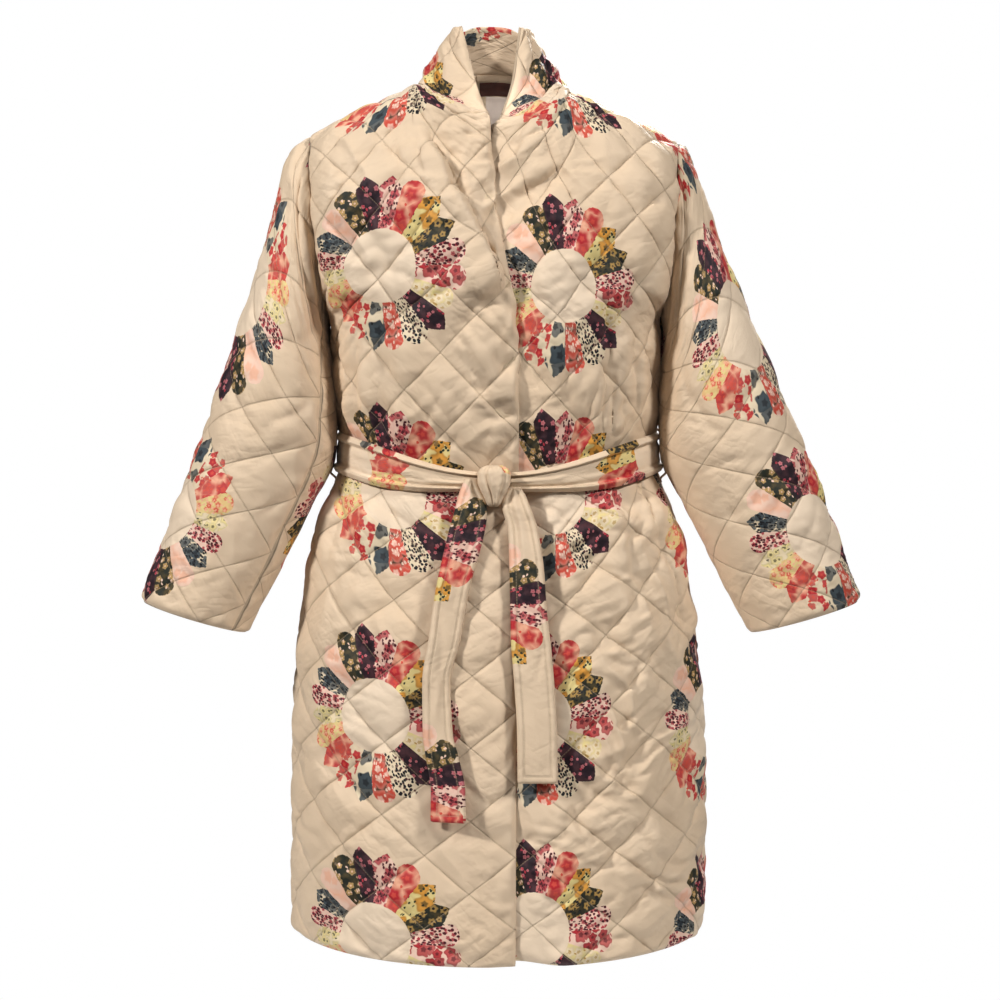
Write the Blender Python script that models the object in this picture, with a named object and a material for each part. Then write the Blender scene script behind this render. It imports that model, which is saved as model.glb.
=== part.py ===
"""A quilted wrap coat with a standing collar and a tie belt, filled out and hollow.

Metres, +Z up. The front faces -Y and the wearer's right arm is at -X. The origin lies
between the shoulders, at the height where the shoulder seams run into the collar.
"""

import math
from collections import namedtuple

import bpy
import numpy as np

# Cloth
WALL = 0.0025  # shell, flat wadding and lining at a line of quilting
LOFT = 0.0045  # how far the wadding puffs out in the middle of a diamond
SEAM_GAP = 0.0004  # between two pieces that are sewn together
DIAMOND_CELLS = 4  # grid cells across one quilted diamond, each way
PUFF_POWER = 0.6  # under 1 makes a diamond steep at its stitching and flat on top

# Cut of the body, counted in grid cells
BODY_ROWS = 52  # hem to shoulder seam
COLLAR_ROWS = 6  # neck to the collar's top edge
SHOULDER_COLUMNS = 8  # along one shoulder seam
RIGHT_NECK_COLUMNS = 6  # front edge to neck point on the upper, right front
LEFT_NECK_COLUMNS = 10  # the same on the left front, with its underlap
BACK_NECK_COLUMNS = 10  # neck point to neck point
NECK_SHARE = 0.4  # the neck point's place on a half row, from centre to armhole
SLEEVE_ROWS = 28
SLEEVE_COLUMNS = 18

# Wrap of the two fronts
UNDERLAP_DEPTH = 0.0110  # how far the left front lies behind the right one
UNDERLAP_EASE = 0.045  # the left front sinks over this width before it goes under
UNDERLAP_PUFF = 0.3  # wadding pressed flat between the two fronts
UNDERLAP_LIFT = 0.005  # the left front's hem is this much higher there
UNDERLAP_LIFT_REACH = 0.23  # and no higher than this above the hem

# Belt
BELT_WIDTH = 0.047
BELT_WIDTH_AT_KNOT = 0.021
BELT_WALL = 0.0022
BELT_CLEARANCE = 0.0036  # over the cloth that it squeezes
BELT_SQUEEZE = 0.9  # share of the wadding's puff that it presses out
BELT_REACH = 0.034  # how far above and below its middle it presses
BELT_ROLLS = (0.0002, 0.0050, 0.0014, 0.0026, 0.0012, 0.0046, 0.0002)  # ridges across it
BELT_END_ROLLS = 0.3  # share of the ridges that is left at a stretch's ends
BELT_KNOT_SHARE, BELT_WIDENS_OVER = 0.05, 0.6  # shares of a row where it widens from the knot
BELT_RIGHT_END, BELT_LEFT_END = -0.086, 0.051  # where the front stretches meet the knot
BELT_COLUMNS_FRONT = 14
BELT_COLUMNS_BACK = 26
KNOT_CLEARANCE = 0.0015  # over the squeezed cloth behind it
KNOT_SIDES = 20
KNOT_RINGS = 12
KNOT_POWER = 2.6  # rings between an ellipse and a box

# Rings of the belt's knot, which narrows downwards where its wrap turns under
Wrap = namedtuple("Wrap", "height middle half_width half_depth")
KNOT = (
    Wrap(-0.4815, -0.0050, 0.0045, 0.0050),
    Wrap(-0.4790, -0.0050, 0.0072, 0.0080),
    Wrap(-0.4720, -0.0049, 0.0105, 0.0105),
    Wrap(-0.4630, -0.0047, 0.0152, 0.0128),
    Wrap(-0.4540, -0.0046, 0.0184, 0.0138),
    Wrap(-0.4460, -0.0045, 0.0185, 0.0132),
    Wrap(-0.4390, -0.0042, 0.0155, 0.0105),
    Wrap(-0.4355, -0.0040, 0.0085, 0.0060),
)

# Half rows of the torso, from hem to high chest. height and half_width are at the side
# seam or armhole; front and back are depths on the centre lines; the drops say how much
# lower the centre lines are than the side; front_side and back_side are the armhole's
# depths; power is the superellipse's exponent.
Section = namedtuple(
    "Section",
    "height half_width front back front_drop back_drop front_side back_side power",
)
TORSO = (
    Section(-0.967, 0.2365, 0.166, 0.165, 0.016, 0.006, 0.0, 0.0, 2.3),
    Section(-0.900, 0.2380, 0.167, 0.168, 0.018, 0.005, 0.0, 0.0, 2.3),
    Section(-0.750, 0.2370, 0.160, 0.168, 0.020, 0.003, 0.0, 0.0, 2.2),
    Section(-0.640, 0.2320, 0.152, 0.163, 0.023, 0.0, 0.0, 0.0, 2.2),
    Section(-0.556, 0.2210, 0.140, 0.152, 0.029, 0.0, 0.0, 0.0, 2.2),
    Section(-0.497, 0.2070, 0.128, 0.138, 0.034, 0.0, 0.0, 0.0, 2.2),
    Section(-0.450, 0.1885, 0.117, 0.119, 0.037, 0.0, 0.0, 0.0, 2.2),
    Section(-0.418, 0.1800, 0.113, 0.113, 0.036, 0.0, 0.0, 0.0, 2.2),
    Section(-0.386, 0.1810, 0.119, 0.116, 0.034, 0.0, 0.0, 0.0, 2.2),
    Section(-0.330, 0.1850, 0.133, 0.124, 0.024, 0.0, 0.0, 0.0, 2.25),
    Section(-0.265, 0.1885, 0.139, 0.127, 0.010, 0.0, 0.0, 0.0, 2.3),
    Section(-0.235, 0.1970, 0.137, 0.128, 0.002, 0.0, -0.042, 0.042, 2.3),
    Section(-0.180, 0.2030, 0.129, 0.128, -0.010, -0.012, -0.060, 0.062, 2.4),
    Section(-0.115, 0.2095, 0.110, 0.118, -0.022, -0.030, -0.050, 0.055, 2.4),
)
UNDERARM = 10  # index of the row where the armhole starts
WAIST = 7  # index of the row under the belt's middle

# Rings of the neck, from its base to the collar's top edge
Ring = namedtuple("Ring", "half_width front side back low high top power shift")
NECK = (
    Ring(0.0850, -0.080, 0.005, 0.070, -0.030, 0.008, 0.038, 2.1, -0.002),
    Ring(0.0615, -0.060, 0.008, 0.067, 0.026, 0.045, 0.066, 2.3, -0.004),
    Ring(0.0415, -0.043, 0.012, 0.058, 0.070, 0.076, 0.092, 3.0, -0.004),
)
SHOULDER_TIP = (0.2150, 0.004, -0.051)

# The upper half leans: the wearer's right shoulder is a little higher
LEAN_SHIFT = -0.0050
LEAN_ROLL = 0.018
LEAN_FROM, LEAN_OVER = -0.45, 0.30  # starts at this height and is full this much above
ROUND_OVER = math.radians(52)  # how far the extra row below the shoulder seam turns over
NECK_SPLIT = 0.5  # share of the way to the neck point where the shoulder seam starts to crease
BEYOND_COLLAR = 0.2  # unused ends of the collar rows go on by this share of the last step
COLLAR_SEAM_SLOPE = 0.55  # rise of the normal on the collar's side seams, to 1 sideways

# Front edges: side height, and where each edge stands left or right of the centre line
Edge = namedtuple("Edge", "height right left")
EDGES = (
    Edge(-0.967, 0.0180, -0.1000),
    Edge(-0.585, 0.0200, -0.1000),
    Edge(-0.418, 0.0220, -0.1000),
    Edge(-0.330, 0.0225, -0.0950),
    Edge(-0.265, 0.0195, -0.0800),
    Edge(-0.180, 0.0020, -0.0450),
    Edge(-0.115, -0.0075, -0.0145),
    Edge(-0.054, -0.0127, 0.0005),
)

# The same edges on the collar: share of its height, and where they stand
CollarEdge = namedtuple("CollarEdge", "share right left")
COLLAR_EDGES = (
    CollarEdge(0.4, -0.0288, 0.0180),
    CollarEdge(1.0, -0.0440, 0.0260),
)

# Largest folds: side of the coat, start and end as (share of a half row, side height),
# half width and rise of the ridge, which is a trough where it is negative
Fold = namedtuple("Fold", "panel start_at start end_at end width rise")
FOLDS = (
    Fold("front", -0.36, -0.060, 0.02, -0.330, 0.016, -0.008),
    Fold("front", -0.22, -0.080, 0.10, -0.330, 0.020, 0.005),
    Fold("front", -0.62, -0.300, -0.60, -0.396, 0.012, 0.008),
    Fold("front", -0.76, -0.300, -0.74, -0.396, 0.012, 0.008),
    Fold("front", -0.34, -0.270, -0.50, -0.400, 0.014, 0.006),
    Fold("front", 0.44, -0.270, 0.46, -0.396, 0.012, 0.008),
    Fold("front", 0.57, -0.270, 0.57, -0.396, 0.011, 0.009),
    Fold("front", 0.70, -0.290, 0.67, -0.396, 0.012, 0.008),
    Fold("front", 0.74, -0.440, 0.80, -0.600, 0.020, 0.014),
    Fold("front", 0.92, -0.440, 0.94, -0.700, 0.012, -0.008),
    Fold("front", 0.50, -0.440, 0.52, -0.540, 0.016, 0.007),
    Fold("front", -0.55, -0.440, -0.57, -0.540, 0.016, 0.006),
    Fold("front", -0.80, -0.440, -0.82, -0.560, 0.016, 0.007),
    Fold("back", -0.62, -0.280, -0.60, -0.396, 0.014, 0.008),
    Fold("back", -0.36, -0.290, -0.34, -0.396, 0.014, 0.008),
    Fold("back", 0.12, -0.280, 0.10, -0.396, 0.014, 0.008),
    Fold("back", 0.44, -0.290, 0.42, -0.396, 0.014, 0.008),
    Fold("back", -0.50, -0.440, -0.52, -0.560, 0.016, 0.009),
    Fold("back", -0.15, -0.440, -0.16, -0.560, 0.016, 0.008),
    Fold("back", 0.30, -0.440, 0.31, -0.560, 0.016, 0.009),
    Fold("back", 0.66, -0.440, 0.68, -0.560, 0.016, 0.008),
)

FOLD_TAPER = 0.7  # power of the sine that a fold rises and dies with

# Sleeve rings seen from the front, from below the sleeve head to the cuff
Cuff = namedtuple("Cuff", "outer_right outer_left outer_z inner_x inner_z depth middle")
SLEEVE = (
    Cuff(0.2340, 0.2270, -0.070, 0.1950, -0.279, 0.064, -0.001),
    Cuff(0.2480, 0.2440, -0.120, 0.1940, -0.303, 0.066, -0.010),
    Cuff(0.2650, 0.2660, -0.185, 0.1925, -0.330, 0.067, -0.020),
    Cuff(0.2865, 0.2920, -0.255, 0.1905, -0.362, 0.066, -0.030),
    Cuff(0.3180, 0.3250, -0.345, 0.1900, -0.408, 0.065, -0.038),
    Cuff(0.3660, 0.3740, -0.474, 0.2390, -0.530, 0.061, -0.044),
    Cuff(0.4070, 0.4125, -0.588, 0.2880, -0.625, 0.056, -0.047),
)
SEAM_TURN = {-1: math.radians(38), 1: math.radians(-25)}  # sleeve seam, from the inner side

# Hanging tails: height, middle, width, and how far they stand off the cloth below
Tail = namedtuple("Tail", "height middle width off twist")
TAIL_RIGHT = (
    Tail(-0.4520, -0.0300, 0.011, 0.0085, 0.10),
    Tail(-0.4630, -0.0305, 0.019, 0.0095, 0.10),
    Tail(-0.4740, -0.0294, 0.028, 0.0105, 0.10),
    Tail(-0.4850, -0.0300, 0.032, 0.0130, 0.10),
    Tail(-0.5126, -0.0355, 0.036, 0.0115, 0.10),
    Tail(-0.5730, -0.0500, 0.033, 0.0100, 0.15),
    Tail(-0.6285, -0.0587, 0.031, 0.0090, 0.25),
    Tail(-0.6730, -0.0669, 0.027, 0.0080, 0.30),
    Tail(-0.7290, -0.0658, 0.029, 0.0080, 0.00),
    Tail(-0.7530, -0.0614, 0.032, 0.0090, -0.15),
    Tail(-0.7910, -0.0549, 0.034, 0.0110, -0.25),
    Tail(-0.8220, -0.0549, 0.035, 0.0120, -0.30),
)
TAIL_LEFT = (
    Tail(-0.4630, 0.0178, 0.014, 0.0090, -0.10),
    Tail(-0.4740, 0.0182, 0.025, 0.0105, -0.10),
    Tail(-0.4850, 0.0206, 0.028, 0.0130, -0.10),
    Tail(-0.5025, 0.0261, 0.029, 0.0125, -0.10),
    Tail(-0.5470, 0.0310, 0.034, 0.0110, -0.10),
    Tail(-0.5930, 0.0332, 0.036, 0.0090, 0.00),
    Tail(-0.6380, 0.0365, 0.040, 0.0080, 0.05),
    Tail(-0.6787, 0.0398, 0.040, 0.0080, 0.05),
    Tail(-0.7290, 0.0425, 0.040, 0.0080, 0.05),
    Tail(-0.7804, 0.0430, 0.040, 0.0080, 0.00),
)
TAIL_WALL = 0.0040
TAIL_ROWS = 22
TAIL_COLUMNS = 4
TAIL_CROWN = 0.0016  # the wadding makes its middle a little thicker

# Small pieces
LOOP_WIDTH = 0.009
LOOP_WALL = 0.0016
LOOP_REACH = 0.036  # above and below the belt's middle
LOOP_OVER_BELT = 0.0100
LOOP_STEEPNESS, LOOP_FLAT_END = 3.6, 0.25  # how fast its ends climb from the cloth
LOOP_ROWS = 12
TRIM_WALL = 0.0010
TRIM_ROWS, TRIM_COLUMNS = 4, 6
TRIM_REACH = 6  # grid rows below the neck seam that the strips lie on

# Strips inside the back of the neck: size, height of the top edge, and extra clearance
Trim = namedtuple("Trim", "width height top off")
LABEL = Trim(0.026, 0.040, 0.0190, 0.0016)
TAPE = Trim(0.042, 0.012, 0.0325, 0.0013)
HANGER = Trim(0.050, 0.004, 0.0378, 0.0007)

# Working values
ROW_SAMPLES = 241  # points worked out along half a row
HALF_ROW = 0.25  # about the length of half a row, to turn widths into shares of it
BODY_GAUGE, COLLAR_GAUGE = 0.6, 0.3  # shares of a row where lengths are measured
SEAM_SAMPLES = 200  # points along an armhole's front or back half
SKIN_ROWS, SKIN_COLUMNS, SKIN_SHARE = 240, 81, 0.6  # the plain front that the belt hangs on
FINE_TOP, FINE_WAIST = 6, 4  # rows with small cells inside, below a top edge and beside the waist
SHARP_ANGLE = math.radians(50)  # faces that meet at more than this keep a crisp edge


def smooth(share):
    """0 below 0, 1 above 1, and an S-curve between."""
    share = np.clip(share, 0.0, 1.0)
    return share * share * (3.0 - 2.0 * share)


def spline(knots, values, at):
    """A cubic through values, along their first axis, that never overshoots them."""
    knots, values, at = (np.asarray(v, float) for v in (knots, values, at))
    tail = (1,) * (values.ndim - 1)
    step = np.diff(knots).reshape(-1, *tail)
    slope = np.diff(values, axis=0) / step
    before, after = slope[:-1], slope[1:]
    near, far = 2 * step[1:] + step[:-1], step[1:] + 2 * step[:-1]
    agree = before * after > 0
    safe_before = np.where(agree, before, 1.0)
    safe_after = np.where(agree, after, 1.0)
    inner = np.where(agree, (near + far) / (near / safe_before + far / safe_after), 0.0)
    rate = np.concatenate([slope[:1], inner, slope[-1:]])
    cell = np.clip(np.searchsorted(knots, at, side="right") - 1, 0, len(knots) - 2)
    width = step[cell]
    t = (at - knots[cell]).reshape(-1, *tail) / width
    return (
        values[cell] * (1 + 2 * t) * (1 - t) ** 2
        + rate[cell] * width * t * (1 - t) ** 2
        + values[cell + 1] * t * t * (3 - 2 * t)
        + rate[cell + 1] * width * t * t * (t - 1)
    )


def evenly(points, samples):
    """A line's points again, evenly spaced along it."""
    along = np.concatenate([[0], np.cumsum(np.linalg.norm(np.diff(points, axis=0), axis=1))])
    at = np.linspace(0, along[-1], samples)
    return np.stack([np.interp(at, along, points[:, k]) for k in range(3)], axis=1)


def section_row(section, front):
    """Half a row of the torso, from the centre line to the side, at +X."""
    turn = np.linspace(0, math.pi / 2, 4 * ROW_SAMPLES)
    across = np.sin(turn) ** (2 / section.power)
    inward = np.cos(turn) ** (2 / section.power)
    middle = -section.front if front else section.back
    side = section.front_side if front else section.back_side
    drop = section.front_drop if front else section.back_drop
    fall = drop * np.cos(turn) ** 2
    points = np.stack(
        [section.half_width * across, side + (middle - side) * inward, section.height - fall],
        axis=1,
    )
    return evenly(points, ROW_SAMPLES)


def neck_row(ring, front, share):
    """A quarter of a neck ring, from the centre line to its side, at +X."""
    turn = np.linspace(0, math.pi / 2, 4 * ROW_SAMPLES)
    middle, height = (ring.front, ring.low) if front else (ring.back, ring.top)
    points = np.stack(
        [
            ring.half_width * np.sin(turn) ** (2 / ring.power),
            ring.side + (middle - ring.side) * np.cos(turn) ** (2 / ring.power),
            ring.high + (height - ring.high) * np.cos(turn) ** 2,
        ],
        axis=1,
    )
    return evenly(points, share)


def half_net(front):
    """All half rows at +X, hem first: torso, the row that turns over, shoulder, collar."""
    rows = [section_row(section, front) for section in TORSO]
    neck_samples = round(NECK_SHARE * (ROW_SAMPLES - 1)) + 1
    base = neck_row(NECK[0], front, neck_samples)
    run = np.linspace(0, 1, ROW_SAMPLES - neck_samples + 1)[1:, None]
    shoulder = np.concatenate([base, base[-1] + (np.array(SHOULDER_TIP) - base[-1]) * run])
    chest = rows[-1]
    turn = np.array([math.sin(ROUND_OVER), 1 - math.cos(ROUND_OVER), math.sin(ROUND_OVER)])
    rows += [chest + (shoulder - chest) * turn, shoulder]
    for ring in NECK[1:]:
        collar = neck_row(ring, front, neck_samples)
        beyond = shoulder[neck_samples:] + BEYOND_COLLAR * (rows[-1] - rows[-2])[neck_samples:]
        rows.append(np.concatenate([collar, beyond]))
    return np.array(rows)


def whole_net(front):
    """Rows from -X to +X, with the neck's small shift to one side."""
    half = half_net(front)
    mirrored = half[:, :0:-1] * np.array([-1.0, 1.0, 1.0])
    net = np.concatenate([mirrored, half], axis=1)
    share = np.abs(np.linspace(-1, 1, net.shape[1]))
    at_neck = 1 - smooth((share - NECK_SHARE) / NECK_SHARE)
    for row, ring in zip(range(-len(NECK), 0), NECK):
        net[row, :, 0] += ring.shift * at_neck
    return net


NETS = {"front": whole_net(True), "back": whole_net(False)}
NET_SHARES = np.linspace(-1, 1, 2 * ROW_SAMPLES - 1)
SHOULDER_ROW = len(TORSO) + 1


def row_lengths(share, first, last):
    """How far each net row lies above the first one, along the front at a share of a row."""
    line = NETS["front"][first : last + 1, ROW_SAMPLES - 1 + round(share * ROW_SAMPLES)]
    return np.concatenate([[0], np.cumsum(np.linalg.norm(np.diff(line, axis=0), axis=1))])


def row_levels():
    """Each net row's place in grid rows: hem 0, shoulder BODY_ROWS, collar top above."""
    body = row_lengths(BODY_GAUGE, 0, SHOULDER_ROW)
    collar = row_lengths(COLLAR_GAUGE, SHOULDER_ROW, SHOULDER_ROW + len(NECK) - 1)
    above = BODY_ROWS + collar[1:] / collar[-1] * COLLAR_ROWS
    return np.concatenate([body / body[-1] * BODY_ROWS, above])


LEVELS = row_levels()
ROW_LENGTH = row_lengths(BODY_GAUGE, 0, SHOULDER_ROW)[-1] / BODY_ROWS
SIDE_HEIGHTS = np.concatenate(
    [[s.height for s in TORSO], NETS["front"][len(TORSO) : SHOULDER_ROW + 1, -1, 2]]
)
BELT_LEVEL = LEVELS[WAIST]


def level_of(height):
    """The grid row at a height on the side of the coat."""
    return float(np.interp(height, SIDE_HEIGHTS, LEVELS[: SHOULDER_ROW + 1]))


def net_rows(panel, levels):
    """Rows of the coat at these levels, smooth at the front of the neck and cut at its sides."""
    net = NETS[panel]
    whole = spline(LEVELS, net, levels)
    body = spline(LEVELS[: SHOULDER_ROW + 1], net[: SHOULDER_ROW + 1], np.minimum(levels, BODY_ROWS))
    collar = spline(LEVELS[SHOULDER_ROW:], net[SHOULDER_ROW:], np.maximum(levels, BODY_ROWS))
    cut = np.where((levels > BODY_ROWS)[:, None, None], collar, body)
    past = np.abs(NET_SHARES) / NECK_SHARE - NECK_SPLIT
    share = smooth(past / (1 - NECK_SPLIT))[None, :, None]
    return whole * (1 - share) + cut * share


def lean(points):
    """Points of the straight coat, moved to where the leaning coat has them."""
    share = smooth((points[..., 2] - LEAN_FROM) / LEAN_OVER)
    moved = points.copy()
    moved[..., 0] += LEAN_SHIFT * share
    moved[..., 2] -= LEAN_ROLL * points[..., 0] * share
    return moved


def surface(panel, shares, levels):
    """Points of the coat at each share of a half row and level. Both are (rows, columns)."""
    rows = net_rows(panel, levels[:, 0])
    points = np.empty(shares.shape + (3,))
    for r in range(len(shares)):
        for k in range(3):
            points[r, :, k] = np.interp(shares[r], NET_SHARES, rows[r, :, k])
    return lean(points)


def fold_rise(panel, shares, levels):
    """How far the folds lift the cloth at each point."""
    rise = np.zeros(shares.shape)
    for fold in FOLDS:
        if fold.panel != panel:
            continue
        first, last = level_of(fold.start), level_of(fold.end)
        along = (levels - first) / (last - first)
        middle = fold.start_at + (fold.end_at - fold.start_at) * along
        taper = np.sin(math.pi * np.clip(along, 0, 1)) ** FOLD_TAPER
        rise += fold.rise * taper * np.exp(-(((shares - middle) * HALF_ROW / fold.width) ** 2))
    return rise


def grid_normals(points, mask, closed=False):
    """Unit normals at grid points, averaged from the cells that exist."""
    right = np.roll(points, -1, axis=1) if closed else points[:, 1:]
    left = points if closed else points[:, :-1]
    cell = np.cross(right[1:] - left[:-1], left[1:] - right[:-1]) * mask[..., None]
    total = np.zeros_like(points)
    columns = np.arange(cell.shape[1])
    beside = (columns + 1) % points.shape[1]
    for rows in (slice(0, -1), slice(1, None)):
        np.add.at(total[rows], (slice(None), columns), cell)
        np.add.at(total[rows], (slice(None), beside), cell)
    return total / np.maximum(np.linalg.norm(total, axis=-1, keepdims=True), 1e-12)


def diamond_puff(rows, columns):
    """Height of the wadding, 0 on the stitched diagonals and 1 between them."""
    r, c = np.meshgrid(np.arange(rows + 1), np.arange(columns + 1), indexing="ij")
    rising = np.abs(np.sin(math.pi * (c + r) / DIAMOND_CELLS))
    falling = np.abs(np.sin(math.pi * (c - r) / DIAMOND_CELLS))
    return (rising * falling) ** PUFF_POWER


def boundary(mask, closed):
    """True at the grid points on the edge of the cells that exist."""
    rows, columns = mask.shape
    wide = columns if closed else columns + 1
    count = np.zeros((rows + 1, wide), int)
    for dr in (0, 1):
        for dc in (0, 1):
            beside = (np.arange(columns) + dc) % wide
            np.add.at(count[dr : dr + rows], (slice(None), beside), mask.astype(int))
    return (count > 0) & (count < 4)


def cloth_material(name, colour, roughness):
    material = bpy.data.materials.new(name)
    material.use_nodes = True
    shader = material.node_tree.nodes["Principled BSDF"]
    shader.inputs["Base Color"].default_value = (*colour, 1.0)
    shader.inputs["Roughness"].default_value = roughness
    shader.inputs["Metallic"].default_value = 0.0
    material.diffuse_color = (*colour, 1.0)
    return material


def add_object(name, points, faces, material):
    mesh = bpy.data.meshes.new(name)
    mesh.from_pydata([tuple(p) for p in points], [], faces)
    mesh.validate()
    mesh.shade_smooth()
    mesh.set_sharp_from_angle(angle=SHARP_ANGLE)
    mesh.materials.append(material)
    made = bpy.data.objects.new(name, mesh)
    bpy.context.scene.collection.objects.link(made)
    return made


def outer_faces(mask, rise, wide):
    """Two triangles for each cell, split along the line of stitching that crosses it."""
    faces = []
    for r, c in np.argwhere(mask):
        d = (c + 1) % wide
        low_left, low_right, high_left, high_right = (r, c), (r, d), (r + 1, c), (r + 1, d)
        if (c - r) % DIAMOND_CELLS == 0:
            rising = True
        elif (c + 1 + r) % DIAMOND_CELLS == 0:
            rising = False
        else:
            rising = rise[low_left] + rise[high_right] > rise[low_right] + rise[high_left]
        if rising:
            faces += [(low_left, low_right, high_right), (low_left, high_right, high_left)]
        else:
            faces += [(low_left, low_right, high_left), (low_right, high_right, high_left)]
    return faces


def inner_faces(mask, wide, fine_rows):
    """The plain inside, in cells twice as large except in fine_rows."""
    faces = []
    rows, columns = mask.shape

    def coarse(r, c):
        c = c % wide if wide == columns else c
        if not (0 <= r < rows and 0 <= c < columns) or not mask[r, c]:
            return False
        return not any(low <= r < high for low, high in fine_rows)

    for r in range(0, rows, 2):
        for c in range(0, columns, 2):
            if not mask[r, c]:
                continue
            if not coarse(r, c):
                for dr, dc in ((0, 0), (0, 1), (1, 0), (1, 1)):
                    y, x = r + dr, c + dc
                    corners = [(y, x), (y + 1, x), (y + 1, x + 1), (y, x + 1)]
                    faces.append(tuple((i, j % wide) for i, j in corners))
                continue
            ring = [(r, c)]
            ring += [] if coarse(r, c - 2) else [(r + 1, c)]
            ring += [(r + 2, c)]
            ring += [] if coarse(r + 2, c) else [(r + 2, c + 1)]
            ring += [(r + 2, c + 2)]
            ring += [] if coarse(r, c + 2) else [(r + 1, c + 2)]
            ring += [(r, c + 2)]
            ring += [] if coarse(r - 2, c) else [(r, c + 1)]
            faces.append(tuple((i, j % wide) for i, j in ring))
    return faces


def wall(name, base, rise, normals, mask, material, thickness=WALL, closed=False, fine_rows=()):
    """A closed wall of cloth: base lifted by rise outside, and plain at thickness inside."""
    wide = base.shape[1]
    outside = base + normals * rise[..., None]
    inside = base - normals * thickness
    outer = outer_faces(mask, rise, wide)
    inner = inner_faces(mask, wide, fine_rows)
    edges = {(f[k], f[(k + 1) % 3]) for f in outer for k in range(3)}
    rim = [edge for edge in edges if edge[::-1] not in edges]
    index, points = {}, []

    def number(side, at):
        key = (side, int(at[0]), int(at[1]))
        if key not in index:
            index[key] = len(points)
            points.append((outside if side else inside)[at[0], at[1]])
        return index[key]

    faces = [[number(1, at) for at in face] for face in outer]
    faces += [[number(0, at) for at in face] for face in inner]
    for a, b in sorted(rim):
        faces.append([number(1, b), number(1, a), number(0, a), number(0, b)])
    return add_object(name, points, faces, material)


def grid_levels(rows, columns, first=0):
    return np.repeat(np.arange(first, first + rows + 1, dtype=float)[:, None], columns + 1, axis=1)


def edge_shares(which, levels):
    """Where a front's edge stands on each row, as a share of a half row."""
    knots = [level_of(edge.height) for edge in EDGES]
    knots += [BODY_ROWS + COLLAR_ROWS * edge.share for edge in COLLAR_EDGES]
    across = spline(knots, [getattr(edge, which) for edge in EDGES + COLLAR_EDGES], levels)
    rows = lean(net_rows("front", levels))
    inside = np.abs(NET_SHARES) <= NECK_SHARE
    return np.array(
        [np.interp(x, row[inside, 0], NET_SHARES[inside]) for x, row in zip(across, rows)]
    )


def stepped(first, knee, last, low_columns, high_columns):
    """Shares along a row in two even runs that meet at the neck point."""
    low = first + (knee - first) * np.linspace(0, 1, low_columns + 1)
    high = knee + (last - knee) * np.linspace(0, 1, high_columns + 1)
    return np.concatenate([low, high[1:]])


def seam_normal(side):
    """Out of the cloth on a shoulder seam, at +X or -X."""
    run = np.array(SHOULDER_TIP) - NETS["front"][SHOULDER_ROW, ROW_SAMPLES - 1 + neck_index()]
    normal = np.array([-run[2] * side, 0.0, run[0]])
    return normal / np.linalg.norm(normal)


def neck_index():
    return round(NECK_SHARE * (ROW_SAMPLES - 1))


def collar_seam_normal(side):
    normal = np.array([side, 0.0, COLLAR_SEAM_SLOPE])
    return normal / np.linalg.norm(normal)


def neck_point_normal(side):
    normal = collar_seam_normal(side) + seam_normal(side)
    return normal / np.linalg.norm(normal)


def armhole_centre(side):
    return lean((NETS["front"][UNDERARM, -1] + np.array(SHOULDER_TIP)) / 2 * (side, 1, 1))


def armhole_normals(points, normals, side):
    """Normals along an armhole: turned straight out of the hole towards the shoulder."""
    centre = armhole_centre(side)
    out = points - centre
    out[..., 0] = 0.0
    out /= np.linalg.norm(out, axis=-1, keepdims=True)
    span = SHOULDER_TIP[2] - centre[2]
    share = smooth((points[..., 2] - centre[2]) / span)[..., None]
    mixed = normals * (1 - share) + out * share
    return mixed / np.linalg.norm(mixed, axis=-1, keepdims=True)


def pin_seams(points, normals, column, side):
    """Sets the normals on a side seam and armhole so that the pieces sewn there agree."""
    for row in range(BODY_ROWS + 1):
        if row <= LEVELS[UNDERARM]:
            normals[row, column] = (side, 0.0, 0.0)
        else:
            normals[row, column] = armhole_normals(points[row, column], normals[row, column], side)


def belt_press(levels):
    """1 on most of the coat, and little where the belt squeezes the wadding."""
    away = (levels - BELT_LEVEL) * ROW_LENGTH / BELT_REACH
    return 1 - BELT_SQUEEZE * np.exp(-away * away)


def fine_bands(rows):
    """Rows with small cells inside too, where the wall curves most: shoulder and waist."""
    waist = round(BELT_LEVEL / 2) * 2
    return ((BODY_ROWS - FINE_TOP, rows), (waist - FINE_WAIST, waist + FINE_WAIST))


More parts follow.
